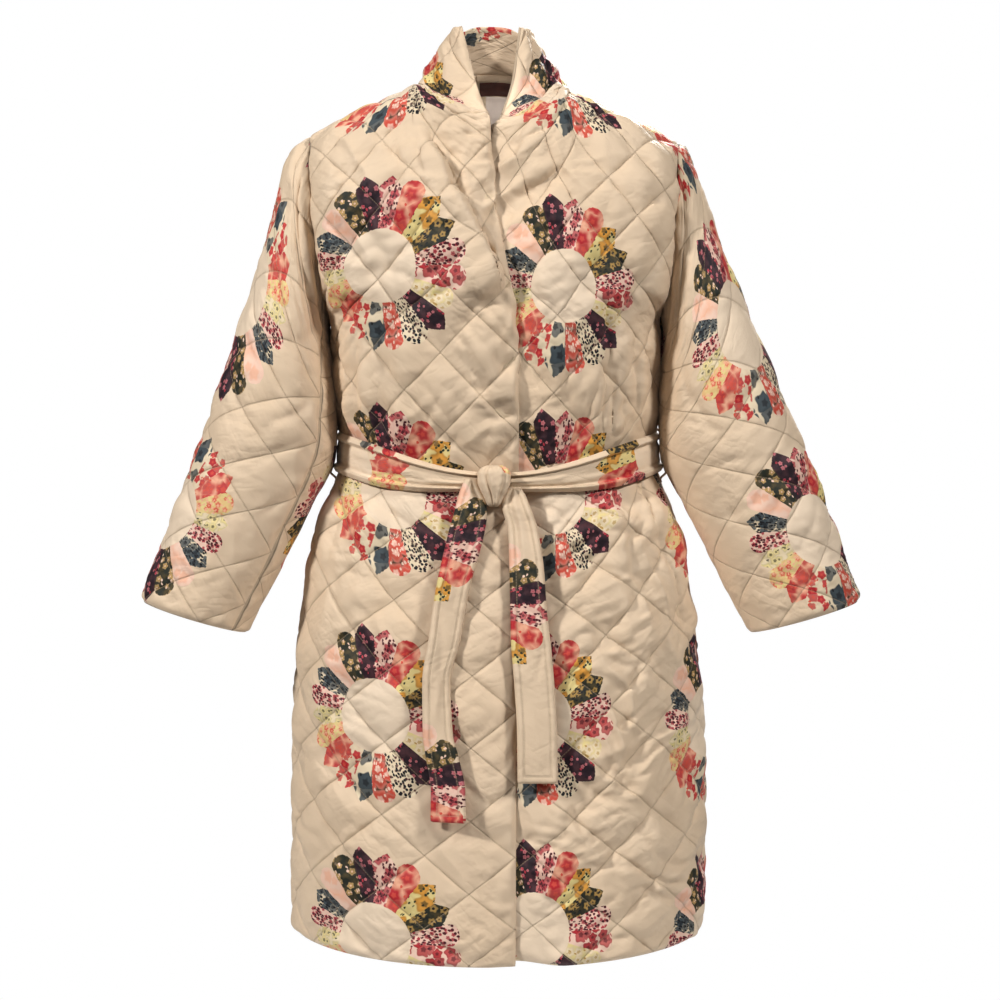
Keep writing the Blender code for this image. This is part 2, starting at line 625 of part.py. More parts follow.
def front_panel(name, side, material):
    """One front with its half of the standing collar. side is -1 for the wearer's right."""
    right = side < 0
    rows = BODY_ROWS + COLLAR_ROWS
    neck_columns = RIGHT_NECK_COLUMNS if right else LEFT_NECK_COLUMNS
    columns = neck_columns + SHOULDER_COLUMNS
    levels = grid_levels(rows, columns)
    edge = edge_shares("right" if right else "left", levels[:, 0])
    if right:
        runs = [stepped(-1, -NECK_SHARE, e, SHOULDER_COLUMNS, neck_columns) for e in edge]
    else:
        runs = [stepped(e, NECK_SHARE, 1, neck_columns, SHOULDER_COLUMNS) for e in edge]
    shares = np.array(runs)
    mask = np.ones((rows, columns), bool)
    shoulder = slice(0, SHOULDER_COLUMNS) if right else slice(neck_columns, None)
    mask[BODY_ROWS:, shoulder] = False
    points = surface("front", shares, levels) - np.array([0, SEAM_GAP / 2, 0])
    normals = grid_normals(points, mask)
    puff = diamond_puff(rows, columns) * belt_press(levels)
    points = points + normals * fold_rise("front", shares, levels)[..., None]
    if not right:
        ease = UNDERLAP_EASE / HALF_ROW
        over = edge_shares("right", levels[:, 0])[:, None]
        under = smooth((over + ease - shares) / ease)
        points -= normals * (UNDERLAP_DEPTH * under)[..., None]
        points[..., 2] += UNDERLAP_LIFT * under * (1 - smooth(levels * ROW_LENGTH / UNDERLAP_LIFT_REACH))
        puff *= 1 - (1 - UNDERLAP_PUFF) * under
    normals = grid_normals(points, mask)
    puff[boundary(mask, False)] = 0.0
    outer = 0 if right else columns
    neck = SHOULDER_COLUMNS if right else neck_columns
    pin_seams(points, normals, outer, side)
    seam = range(0, neck) if right else range(neck + 1, columns + 1)
    for column in seam:
        normals[BODY_ROWS, column] = seam_normal(side)
    for row in range(BODY_ROWS + 1, rows + 1):
        normals[row, neck] = collar_seam_normal(side)
    normals[BODY_ROWS, neck] = neck_point_normal(side)
    return wall(name, points, LOFT * puff, normals, mask, material, fine_rows=fine_bands(rows))


def back_panel(material):
    columns = 2 * SHOULDER_COLUMNS + BACK_NECK_COLUMNS
    levels = grid_levels(BODY_ROWS, columns)
    row = stepped(-1, -NECK_SHARE, NECK_SHARE, SHOULDER_COLUMNS, BACK_NECK_COLUMNS)
    row = np.concatenate([row, np.linspace(NECK_SHARE, 1, SHOULDER_COLUMNS + 1)[1:]])[::-1]
    shares = np.repeat(row[None], BODY_ROWS + 1, axis=0)
    mask = np.ones((BODY_ROWS, columns), bool)
    points = surface("back", shares, levels) + np.array([0, SEAM_GAP / 2, 0])
    normals = grid_normals(points, mask)
    points = points + normals * fold_rise("back", shares, levels)[..., None]
    normals = grid_normals(points, mask)
    puff = diamond_puff(BODY_ROWS, columns) * belt_press(levels)
    puff[boundary(mask, False)] = 0.0
    for side, column in ((1, 0), (-1, columns)):
        pin_seams(points, normals, column, side)
        neck = SHOULDER_COLUMNS if side > 0 else columns - SHOULDER_COLUMNS
        for c in range(0, neck) if side > 0 else range(neck + 1, columns + 1):
            normals[BODY_ROWS, c] = seam_normal(side)
        normals[BODY_ROWS, neck] = neck_point_normal(side)
    bands = fine_bands(BODY_ROWS)
    return wall("back", points, LOFT * puff, normals, mask, material, fine_rows=bands)


def back_collar(material):
    """The collar's stretch behind the neck, from one shoulder seam to the other."""
    levels = grid_levels(COLLAR_ROWS, BACK_NECK_COLUMNS, BODY_ROWS)
    row = np.linspace(NECK_SHARE, -NECK_SHARE, BACK_NECK_COLUMNS + 1)
    shares = np.repeat(row[None], COLLAR_ROWS + 1, axis=0)
    mask = np.ones((COLLAR_ROWS, BACK_NECK_COLUMNS), bool)
    points = surface("back", shares, levels) + np.array([0, SEAM_GAP / 2, SEAM_GAP])
    normals = grid_normals(points, mask)
    puff = diamond_puff(COLLAR_ROWS, BACK_NECK_COLUMNS)
    puff[boundary(mask, False)] = 0.0
    normals[:, 0] = collar_seam_normal(1)
    normals[:, -1] = collar_seam_normal(-1)
    fine = ((0, COLLAR_ROWS),)
    return wall("collar_back", points, LOFT * puff, normals, mask, material, fine_rows=fine)


def armhole_loop(side, turns):
    """Points round an armhole: turn 0 is under the arm, a quarter turn is at the front."""
    levels = np.linspace(LEVELS[UNDERARM], BODY_ROWS, SEAM_SAMPLES)[:, None]
    ends = {}
    for panel in ("front", "back"):
        line = surface(panel, np.full(levels.shape, float(side)), levels)[:, 0]
        ends[panel] = evenly(line, SEAM_SAMPLES)
    loop = np.concatenate([ends["front"], ends["back"][-2::-1]])
    at = np.mod(turns, 2 * math.pi) / (2 * math.pi) * (len(loop) - 1)
    return np.stack([np.interp(at, np.arange(len(loop)), loop[:, k]) for k in range(3)], axis=1)


def sleeve(name, side, material):
    """A sleeve from cuff to armhole, with its seam at column 0."""
    turns = np.linspace(0, 2 * math.pi, SLEEVE_COLUMNS, endpoint=False) + SEAM_TURN[side]
    rings = [armhole_loop(side, turns)]
    for cuff in SLEEVE:
        reach_out = cuff.outer_right if side < 0 else cuff.outer_left
        outer = np.array([side * reach_out, cuff.middle, cuff.outer_z])
        inner = np.array([side * cuff.inner_x, cuff.middle, cuff.inner_z])
        reach = np.cos(turns)[:, None]
        ahead = np.array([0.0, -cuff.depth, 0.0]) * np.sin(turns)[:, None]
        rings.append(lean((outer + inner) / 2 + (inner - outer) / 2 * reach + ahead))
    rings = np.array(rings)[::-1]
    middle = rings.mean(axis=1)
    knots = np.concatenate([[0], np.cumsum(np.linalg.norm(np.diff(middle, axis=0), axis=1))])
    points = spline(knots, rings, np.linspace(0, knots[-1], SLEEVE_ROWS + 1))
    points[..., 0] += side * SEAM_GAP
    if side < 0:
        points = np.roll(points[:, ::-1], 1, axis=1)
    mask = np.ones((SLEEVE_ROWS, SLEEVE_COLUMNS), bool)
    normals = grid_normals(points, mask, closed=True)
    normals[-1] = armhole_normals(points[-1], normals[-1], side)
    puff = diamond_puff(SLEEVE_ROWS, SLEEVE_COLUMNS - 1)
    puff[:, 0] = 0.0
    puff[boundary(mask, True)] = 0.0
    fine = ((SLEEVE_ROWS - FINE_TOP, SLEEVE_ROWS),)
    return wall(name, points, LOFT * puff, normals, mask, material, closed=True, fine_rows=fine)


def belt_stretch(name, panel, first, last, columns, material):
    """A stretch of the belt, laid on the cloth that it squeezes and moved out from it."""
    shares = np.repeat(np.linspace(first, last, columns + 1)[None], len(BELT_ROLLS), axis=0)
    far = smooth((np.abs(shares) - BELT_KNOT_SHARE) / BELT_WIDENS_OVER)
    far = far if panel == "front" else np.ones(shares.shape)
    width = BELT_WIDTH_AT_KNOT + (BELT_WIDTH - BELT_WIDTH_AT_KNOT) * far
    across = np.linspace(-0.5, 0.5, len(BELT_ROLLS))[:, None]
    levels = BELT_LEVEL + across * width / ROW_LENGTH
    points = np.empty(shares.shape + (3,))
    for column in range(columns + 1):
        column_slice = slice(column, column + 1)
        points[:, column_slice] = surface(panel, shares[:, column_slice], levels[:, column_slice])
    mask = np.ones((len(BELT_ROLLS) - 1, columns), bool)
    normals = grid_normals(points, mask)
    points = points + normals * fold_rise(panel, shares, levels)[..., None]
    shift = SEAM_GAP / 2 if panel == "back" else -SEAM_GAP / 2
    points = points + normals * (BELT_CLEARANCE + BELT_WALL) + np.array([0, shift, 0])
    for column, share in ((0, first), (columns, last)):
        if abs(share) == 1:
            normals[:, column] = (share, 0.0, 0.0)
    rise = np.repeat(np.array(BELT_ROLLS)[:, None], columns + 1, axis=1)
    rise[:, [0, -1]] *= BELT_END_ROLLS
    fine = ((0, len(BELT_ROLLS)),)
    return wall(name, points, rise, normals, mask, material, BELT_WALL, fine_rows=fine)


def front_skin():
    """The plain outside of the front below the chest, as a grid of points."""
    row = np.linspace(-SKIN_SHARE, SKIN_SHARE, SKIN_COLUMNS)
    column = np.linspace(0, LEVELS[UNDERARM], SKIN_ROWS)
    levels, shares = np.meshgrid(column, row, indexing="ij")
    return surface("front", shares, levels)


FRONT_SKIN = front_skin()


def front_depth(x, z):
    """y of the front's plain outside at a place seen from the front."""
    depths = [np.interp(x, row[:, 0], row[:, 1]) for row in FRONT_SKIN]
    heights = [np.interp(x, row[:, 0], row[:, 2]) for row in FRONT_SKIN]
    return float(np.interp(z, heights, depths))


def table_columns(table, knots, at):
    """Each column of a table, smoothly filled in between its rows."""
    fields = table[0]._fields
    return {key: spline(knots, [getattr(row, key) for row in table], at) for key in fields}


def knot(material):
    """The belt's knot: a rounded wrap that rests on the cloth behind it."""
    heights = [row.height for row in KNOT]
    at = np.linspace(heights[0], heights[-1], KNOT_RINGS + 1)
    columns = table_columns(KNOT, heights, at)
    turns = 2 * math.pi * np.arange(KNOT_SIDES) / KNOT_SIDES
    across = np.sign(np.cos(turns)) * np.abs(np.cos(turns)) ** (2 / KNOT_POWER)
    ahead = np.sign(np.sin(turns)) * np.abs(np.sin(turns)) ** (2 / KNOT_POWER)
    belt_height = TORSO[WAIST].height - TORSO[WAIST].front_drop
    points, faces = [], []
    for ring, z in enumerate(at):
        middle, half_width, half_depth = (columns[key][ring] for key in Wrap._fields[1:])
        below = (z - belt_height) / BELT_REACH
        puff = LOFT * (1 - BELT_SQUEEZE * math.exp(-below * below))
        y = front_depth(middle, z) - KNOT_CLEARANCE - puff - half_depth
        for a, b in zip(across, ahead):
            points.append((middle + half_width * a, y + half_depth * b, z))
    for ring in range(KNOT_RINGS):
        for side in range(KNOT_SIDES):
            a, b = ring * KNOT_SIDES + side, ring * KNOT_SIDES + (side + 1) % KNOT_SIDES
            faces.append([a, b, b + KNOT_SIDES, a + KNOT_SIDES])
    faces.append(list(range(KNOT_SIDES))[::-1])
    faces.append([KNOT_RINGS * KNOT_SIDES + side for side in range(KNOT_SIDES)])
    return add_object("belt_knot", points, faces, material)


def tail(name, table, material):
    """A hanging end of the belt: a padded strip in front of the skirt."""
    table = table[::-1]
    heights = [row.height for row in table]
    at = np.linspace(heights[0], heights[-1], TAIL_ROWS + 1)
    columns = table_columns(table, heights, at)
    across = np.linspace(-0.5, 0.5, TAIL_COLUMNS + 1)
    points = np.empty((TAIL_ROWS + 1, TAIL_COLUMNS + 1, 3))
    for r, z in enumerate(at):
        x = columns["middle"][r] + across * columns["width"][r]
        cloth = min(front_depth(float(v), float(z)) for v in x)
        tilt = across * columns["width"][r] * columns["twist"][r]
        y = cloth - LOFT - columns["off"][r] + tilt
        points[r] = np.stack([x, y, np.full(len(x), z)], axis=1)
    mask = np.ones((TAIL_ROWS, TAIL_COLUMNS), bool)
    normals = grid_normals(points, mask)
    rise = np.repeat(TAIL_CROWN * np.sin(math.pi * (across + 0.5))[None], TAIL_ROWS + 1, axis=0)
    fine = ((0, TAIL_ROWS),)
    return wall(name, points, rise, normals, mask, material, TAIL_WALL, fine_rows=fine)


def belt_loop(name, side, material):
    """A narrow strip sewn at the side seam, over the belt."""
    place = np.linspace(-1, 1, LOOP_ROWS + 1)
    levels = (BELT_LEVEL + place * LOOP_REACH / ROW_LENGTH)[:, None]
    seam = surface("front", np.full(levels.shape, float(side)), levels)[:, 0]
    over = LOOP_OVER_BELT * smooth(LOOP_STEEPNESS * (1 - np.abs(place)) - LOOP_FLAT_END)
    points = np.repeat(seam[:, None], 3, axis=1)
    points[..., 0] += side * (over + LOOP_WALL + SEAM_GAP)[:, None]
    points[..., 1] += side * LOOP_WIDTH * np.array([-0.5, 0.0, 0.5])
    mask = np.ones((LOOP_ROWS, 2), bool)
    normals = grid_normals(points, mask)
    plain = np.zeros(points.shape[:2])
    fine = ((0, LOOP_ROWS),)
    return wall(name, points, plain, normals, mask, material, LOOP_WALL, fine_rows=fine)


def neck_trim(name, trim, material):
    """A flat strip on the inside of the back, below the collar."""
    levels = np.linspace(BODY_ROWS - TRIM_REACH, BODY_ROWS, SEAM_SAMPLES)[:, None]
    line = surface("back", np.zeros(levels.shape), levels)[:, 0]
    shares = np.linspace(-NECK_SHARE, NECK_SHARE, SKIN_COLUMNS)[None]
    across = np.linspace(-0.5, 0.5, TRIM_COLUMNS + 1) * trim.width + NECK[0].shift
    points = np.empty((TRIM_ROWS + 1, TRIM_COLUMNS + 1, 3))
    for r, z in enumerate(np.linspace(trim.top - trim.height, trim.top, TRIM_ROWS + 1)):
        level = np.interp(z, line[:, 2], levels[:, 0])
        row = surface("back", shares, np.full(shares.shape, level))[0]
        points[r] = np.stack([np.interp(across, row[:, 0], row[:, k]) for k in range(3)], axis=1)
    mask = np.ones((TRIM_ROWS, TRIM_COLUMNS), bool)
    normals = grid_normals(points, mask)
    points = points + normals * (WALL + SEAM_GAP + TRIM_WALL + trim.off)
    plain = np.zeros(points.shape[:2])
    fine = ((0, TRIM_ROWS),)
    return wall(name, points, plain, normals, mask, material, TRIM_WALL, fine_rows=fine)


def build():
    for old in list(bpy.data.objects):
        bpy.data.objects.remove(old)
    printed = cloth_material("printed_cloth", (0.72, 0.58, 0.43), 0.75)
    plain = cloth_material("belt_cloth", (0.74, 0.62, 0.48), 0.75)
    brown = cloth_material("neck_tape_satin", (0.10, 0.035, 0.025), 0.35)
    pale = cloth_material("label_cloth", (0.62, 0.54, 0.47), 0.6)
    front_panel("front_right", -1, printed)
    front_panel("front_left", 1, printed)
    back_panel(printed)
    back_collar(printed)
    sleeve("sleeve_right", -1, printed)
    sleeve("sleeve_left", 1, printed)
    belt_stretch("belt_front_right", "front", -1, BELT_RIGHT_END, BELT_COLUMNS_FRONT, plain)
    belt_stretch("belt_front_left", "front", BELT_LEFT_END, 1, BELT_COLUMNS_FRONT, plain)
    belt_stretch("belt_back", "back", 1, -1, BELT_COLUMNS_BACK, plain)
    knot(plain)
    tail("belt_tail_right", TAIL_RIGHT, plain)
    tail("belt_tail_left", TAIL_LEFT, plain)
    belt_loop("belt_loop_right", -1, plain)
    belt_loop("belt_loop_left", 1, plain)
    neck_trim("neck_tape", TAPE, brown)
    neck_trim("hanger_loop", HANGER, plain)
    neck_trim("neck_label", LABEL, pale)


build()
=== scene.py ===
"""The looks of a quilted wrap coat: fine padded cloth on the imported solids' form, print and light.

Metres, +Z up, in the part's own frame: the front faces -Y, the wearer's right arm is at -X.
"""

import math
from collections import namedtuple

import bpy
import numpy as np
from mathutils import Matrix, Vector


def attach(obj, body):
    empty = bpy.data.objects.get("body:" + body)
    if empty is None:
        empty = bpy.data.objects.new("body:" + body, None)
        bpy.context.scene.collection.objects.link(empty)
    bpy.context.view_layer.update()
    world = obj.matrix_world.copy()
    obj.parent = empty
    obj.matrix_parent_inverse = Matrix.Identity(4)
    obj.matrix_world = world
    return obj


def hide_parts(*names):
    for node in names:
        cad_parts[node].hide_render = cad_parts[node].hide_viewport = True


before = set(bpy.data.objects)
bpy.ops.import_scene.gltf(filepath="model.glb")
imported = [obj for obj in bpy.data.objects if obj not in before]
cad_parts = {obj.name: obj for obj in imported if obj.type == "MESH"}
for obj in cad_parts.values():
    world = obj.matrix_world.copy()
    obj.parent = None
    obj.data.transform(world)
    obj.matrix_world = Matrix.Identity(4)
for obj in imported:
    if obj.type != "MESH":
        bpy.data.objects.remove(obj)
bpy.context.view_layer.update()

# Cloth
WALL = 0.0025  # shell, flat wadding and lining at a line of quilting
LOFT = 0.0045  # puff of the solids' diamonds, which the tails and the knot are set over
DIAMOND_CELLS = 4  # grid cells across one quilted diamond, each way
PUFF = 0.0044  # how far the wadding puffs out in the middle of a diamond
PUFF_POWER = 0.55  # under 1 makes a diamond steep at its stitching and flat on top
FINE = 8  # fine cells along one grid cell
BACK_FINE = 6  # the same along the back's rows
INSIDE_STEP = 4  # fine cells along one face of the plain inside
LINE_SPACING = 0.060  # from one line of quilting to the next
LINE_RUN = 0.063  # along a line, from one crossing to the next
EDGE_ROUND = 0.011  # a puff reaches its height this far from a seam or edge
FLATTER_SIDE, FLATTER_SIDE_WIDE = 0.55, 0.030  # share of the puff that is lost near the side seams
FULLER, FULLER_FROM, FULLER_OVER = 0.40, 0.075, 0.040  # more puff beside the hanging tails
UNEVEN_LOFT, UNEVEN_SIZE = 0.35, 0.075  # how unlike the diamonds are
PUCKER, PUCKER_SIZE, PUCKER_REACH = 0.0016, 0.011, 0.012  # drawn cloth beside the stitching
PUCKER_STRETCH = 0.4  # how much slower it changes away from the thread
PUCKER_ALONG, PUCKER_BESIDE = 0.37, 0.11  # shift of its noise from line to line
STITCH_PINCH = 0.002  # the pucker dies this near to the thread
SEAM_PUCKER, SEAM_PUCKER_SIZE, SEAM_PUCKER_REACH = 0.0026, 0.016 / 1.3, 0.016
SEAM_GROOVE, SEAM_GROOVE_WIDE = 0.0010, 0.0030  # depth and half width along a seam

# Crumples: distance between creases, how much longer than wide, direction from level, height,
# distance between crumpled and calm places, and 1 for narrow ridges, 0 for narrow creases
Crumple = namedtuple("Crumple", "size stretch turn height patch ridged")
CRUMPLES = (
    Crumple(0.026, 2.6, math.radians(-32), 0.0070, 0.110, 0),
    Crumple(0.021, 2.2, math.radians(38), 0.0054, 0.095, 0),
    Crumple(0.012, 1.8, math.radians(-6), 0.0026, 0.070, 0),
    Crumple(0.024, 3.2, math.radians(-58), 0.0046, 0.090, 1),
    Crumple(0.017, 2.8, math.radians(18), 0.0028, 0.080, 1),
)
CALM = {  # share of the crumples on each piece, low down and high up
    "front_right": (0.55, 0.95),
    "front_left": (1.25, 0.90),
    "sleeve_right": (0.36, 0.42),
    "sleeve_left": (0.44, 0.48),
}
CALM_PLAIN = (0.60, 0.70)
CALM_FROM, CALM_OVER = 0.45, 0.15  # the low share ends at this height and the high one starts above
NEAT_COLLAR, NEAT_FROM, NEAT_OVER = 0.7, 0.97, 0.06  # share that the collar loses, and heights
CALM_SIDE, CALM_SIDE_WIDE = 0.80, 0.080  # share that they lose near the side seams
CRUMPLE_POWER, CRUMPLE_MEAN = 0.8, 0.40  # under 1 makes the creases narrow
RIDGE_POWER, RIDGE_MEAN = 1.6, 0.45  # over 1 makes the ridges narrow
CRUMPLE_WARP, CRUMPLE_WARP_SIZE = 0.012, 0.050
CRUMPLED, CRUMPLED_STEEP = 0.55, 0.9  # how much of the cloth is crumpled, and how suddenly
PRESSED_WRINKLES = 0.2  # share of puckers and crumples that stays where the wadding is pressed flat

# Cut of the body, counted in grid cells
BODY_ROWS = 52  # hem to shoulder seam
COLLAR_ROWS = 6  # neck to the collar's top edge
SHOULDER_COLUMNS = 8  # along one shoulder seam
RIGHT_NECK_COLUMNS = 6  # front edge to neck point on the upper, right front
LEFT_NECK_COLUMNS = 10  # the same on the left front, with its underlap
BACK_NECK_COLUMNS = 10  # neck point to neck point
NECK_SHARE = 0.4  # the neck point's place on a half row, from centre to armhole
SLEEVE_ROWS = 28
SLEEVE_COLUMNS = 18

# Wrap of the two fronts
UNDERLAP_DEPTH = 0.0110  # how far the left front lies behind the right one
UNDERLAP_EASE = 0.045  # the left front sinks over this width before it goes under
UNDERLAP_PUFF = 0.3  # wadding pressed flat between the two fronts
UNDERLAP_LIFT = 0.005  # the left front's hem is this much higher there
UNDERLAP_LIFT_REACH = 0.23  # and no higher than this above the hem
EDGE_PRESS, EDGE_PRESS_REACH = 0.0048, 0.034  # the right front's edge lies down on the left one
EDGE_PRESS_LOW, EDGE_PRESS_HIGH = -0.150, -0.060  # side heights where that ends, below the neck

# Belt
BELT_WIDTH = 0.047
BELT_WIDTH_AT_KNOT = 0.021
BELT_WALL = 0.0022
BELT_CLEARANCE = 0.0036  # over the cloth that it squeezes
BELT_SQUEEZE = 0.9  # share of the wadding's puff that it presses out
BELT_REACH = 0.034  # how far above and below its middle it presses
BELT_ROLLS = (  # ridges across it, with narrow grooves beside its rolled edges
    0.0002, 0.0050, 0.0008, 0.0022, 0.0028, 0.0030, 0.0027, 0.0020, 0.0006, 0.0046, 0.0002,
)
BELT_KNOT_SHARE, BELT_WIDENS_OVER = 0.05, 0.6  # shares of a row where it widens from the knot
BELT_RIGHT_END, BELT_LEFT_END = -0.086, 0.051  # where the front stretches meet the knot
BELT_CELLS = 40  # across the belt
BELT_CELL = 0.0025  # along it
BELT_CREASE, BELT_CREASE_LONG, BELT_CREASE_WIDE = 0.0013, 0.055, 0.0065
BELT_GATHER, BELT_GATHER_REACH = 1.2, 0.09  # deeper creases near the knot
KNOT_CLEARANCE = 0.0015  # over the squeezed cloth behind it
KNOT_SIDES = 96
KNOT_RINGS = 60
KNOT_POWER = 2.6  # rings between an ellipse and a box
KNOT_FRONT = 3.0  # how fast its creases start at its sides
KNOT_CREASE_ENDS, KNOT_CREASE_TAPER = 0.02, 0.4  # how they die at top and bottom
KNOT_FLAT = 0.018  # half width of its cloth for the print

# Rings of the belt's knot, which narrows downwards where its wrap turns under
Wrap = namedtuple("Wrap", "height middle half_width half_depth")
KNOT = (
    Wrap(-0.4815, -0.0050, 0.0045, 0.0050),
    Wrap(-0.4790, -0.0050, 0.0072, 0.0080),
    Wrap(-0.4720, -0.0049, 0.0105, 0.0105),
    Wrap(-0.4630, -0.0047, 0.0152, 0.0128),
    Wrap(-0.4540, -0.0046, 0.0184, 0.0138),
    Wrap(-0.4460, -0.0045, 0.0185, 0.0132),
    Wrap(-0.4390, -0.0042, 0.0155, 0.0105),
    Wrap(-0.4355, -0.0040, 0.0085, 0.0060),
)

# Creases in the knot's front: where they cross its top and bottom, from -1 to 1, and depth
KnotCrease = namedtuple("KnotCrease", "top bottom width depth")
KNOT_CREASES = (
    KnotCrease(-0.62, -0.12, 0.13, 0.0042),
    KnotCrease(0.04, 0.26, 0.11, 0.0012),
    KnotCrease(0.72, 0.55, 0.12, 0.0026),
)

# Half rows of the torso, from hem to high chest. height and half_width are at the side
# seam or armhole; front and back are depths on the centre lines; the drops say how much
# lower the centre lines are than the side; front_side and back_side are the armhole's
# depths; power is the superellipse's exponent.
Section = namedtuple(
    "Section",
    "height half_width front back front_drop back_drop front_side back_side power",
)
TORSO = (
    Section(-0.967, 0.2365, 0.166, 0.165, 0.016, 0.006, 0.0, 0.0, 2.3),
    Section(-0.900, 0.2380, 0.167, 0.168, 0.018, 0.005, 0.0, 0.0, 2.3),
    Section(-0.750, 0.2370, 0.160, 0.168, 0.020, 0.003, 0.0, 0.0, 2.2),
    Section(-0.640, 0.2320, 0.152, 0.163, 0.023, 0.0, 0.0, 0.0, 2.2),
    Section(-0.556, 0.2210, 0.140, 0.152, 0.029, 0.0, 0.0, 0.0, 2.2),
    Section(-0.497, 0.2070, 0.128, 0.138, 0.034, 0.0, 0.0, 0.0, 2.2),
    Section(-0.450, 0.1885, 0.117, 0.119, 0.037, 0.0, 0.0, 0.0, 2.2),
    Section(-0.418, 0.1800, 0.113, 0.113, 0.036, 0.0, 0.0, 0.0, 2.2),
    Section(-0.386, 0.1810, 0.119, 0.116, 0.034, 0.0, 0.0, 0.0, 2.2),
    Section(-0.330, 0.1850, 0.133, 0.124, 0.024, 0.0, 0.0, 0.0, 2.25),
    Section(-0.265, 0.1885, 0.139, 0.127, 0.010, 0.0, 0.0, 0.0, 2.3),
    Section(-0.235, 0.1970, 0.137, 0.128, 0.002, 0.0, -0.042, 0.042, 2.3),
    Section(-0.180, 0.2030, 0.129, 0.128, -0.010, -0.012, -0.060, 0.062, 2.4),
    Section(-0.115, 0.2095, 0.110, 0.118, -0.022, -0.030, -0.050, 0.055, 2.4),
)
UNDERARM = 10  # index of the row where the armhole starts
WAIST = 7  # index of the row under the belt's middle

# Rings of the neck, from its base to the collar's top edge
Ring = namedtuple("Ring", "half_width front side back low high top power shift")
NECK = (
    Ring(0.0850, -0.080, 0.005, 0.070, -0.030, 0.008, 0.038, 2.1, -0.002),
    Ring(0.0615, -0.060, 0.008, 0.067, 0.026, 0.045, 0.066, 2.3, -0.004),
    Ring(0.0415, -0.043, 0.012, 0.058, 0.070, 0.076, 0.092, 3.0, -0.004),
)
SHOULDER_TIP = (0.2150, 0.004, -0.051)

# The upper half leans: the wearer's right shoulder is a little higher
LEAN_SHIFT = -0.0050
LEAN_ROLL = 0.018
LEAN_FROM, LEAN_OVER = -0.45, 0.30  # starts at this height and is full this much above
ROUND_OVER = math.radians(52)  # how far the extra row below the shoulder seam turns over
NECK_SPLIT = 0.5  # share of the way to the neck point where the shoulder seam starts to crease
BEYOND_COLLAR = 0.2  # unused ends of the collar rows go on by this share of the last step

# Front edges: side height, and where each edge stands left or right of the centre line
Edge = namedtuple("Edge", "height right left")
EDGES = (
    Edge(-0.967, 0.0180, -0.1000),
    Edge(-0.585, 0.0200, -0.1000),
    Edge(-0.418, 0.0220, -0.1000),
    Edge(-0.330, 0.0225, -0.0950),
    Edge(-0.265, 0.0195, -0.0800),
    Edge(-0.180, 0.0020, -0.0450),
    Edge(-0.115, -0.0075, -0.0145),
    Edge(-0.054, -0.0127, 0.0005),
)

# The same edges on the collar: share of its height, and where they stand
CollarEdge = namedtuple("CollarEdge", "share right left")
COLLAR_EDGES = (
    CollarEdge(0.4, -0.0288, 0.0180),
    CollarEdge(1.0, -0.0440, 0.0260),
)

# Largest folds, near those of the solids: side of the coat, start and end as (share of a half row,
# side height), half width and rise of the ridge, which is a trough where it is negative
Fold = namedtuple("Fold", "panel start_at start end_at end width rise")
FOLDS = (
    Fold("front", -0.62, -0.300, -0.60, -0.396, 0.012, 0.008),
    Fold("front", -0.76, -0.300, -0.74, -0.396, 0.012, 0.008),
    Fold("front", -0.34, -0.270, -0.50, -0.400, 0.014, 0.006),
    Fold("front", 0.44, -0.270, 0.46, -0.396, 0.013, 0.005),
    Fold("front", 0.57, -0.270, 0.57, -0.396, 0.012, 0.005),
    Fold("front", 0.70, -0.290, 0.67, -0.396, 0.013, 0.005),
    Fold("front", 0.70, -0.440, 0.76, -0.600, 0.022, 0.008),
    Fold("front", 0.92, -0.440, 0.94, -0.700, 0.012, -0.008),
    Fold("front", 0.50, -0.440, 0.52, -0.540, 0.016, 0.007),
    Fold("front", -0.55, -0.440, -0.57, -0.540, 0.016, 0.006),
    Fold("front", -0.80, -0.440, -0.82, -0.560, 0.016, 0.007),
    Fold("back", -0.62, -0.280, -0.60, -0.396, 0.014, 0.008),
    Fold("back", -0.36, -0.290, -0.34, -0.396, 0.014, 0.008),
    Fold("back", 0.12, -0.280, 0.10, -0.396, 0.014, 0.008),
    Fold("back", 0.44, -0.290, 0.42, -0.396, 0.014, 0.008),
    Fold("back", -0.50, -0.440, -0.52, -0.560, 0.016, 0.009),
    Fold("back", -0.15, -0.440, -0.16, -0.560, 0.016, 0.008),
    Fold("back", 0.30, -0.440, 0.31, -0.560, 0.016, 0.009),
    Fold("back", 0.66, -0.440, 0.68, -0.560, 0.016, 0.008),
)
FOLD_TAPER = 0.7  # power of the sine that a fold rises and dies with

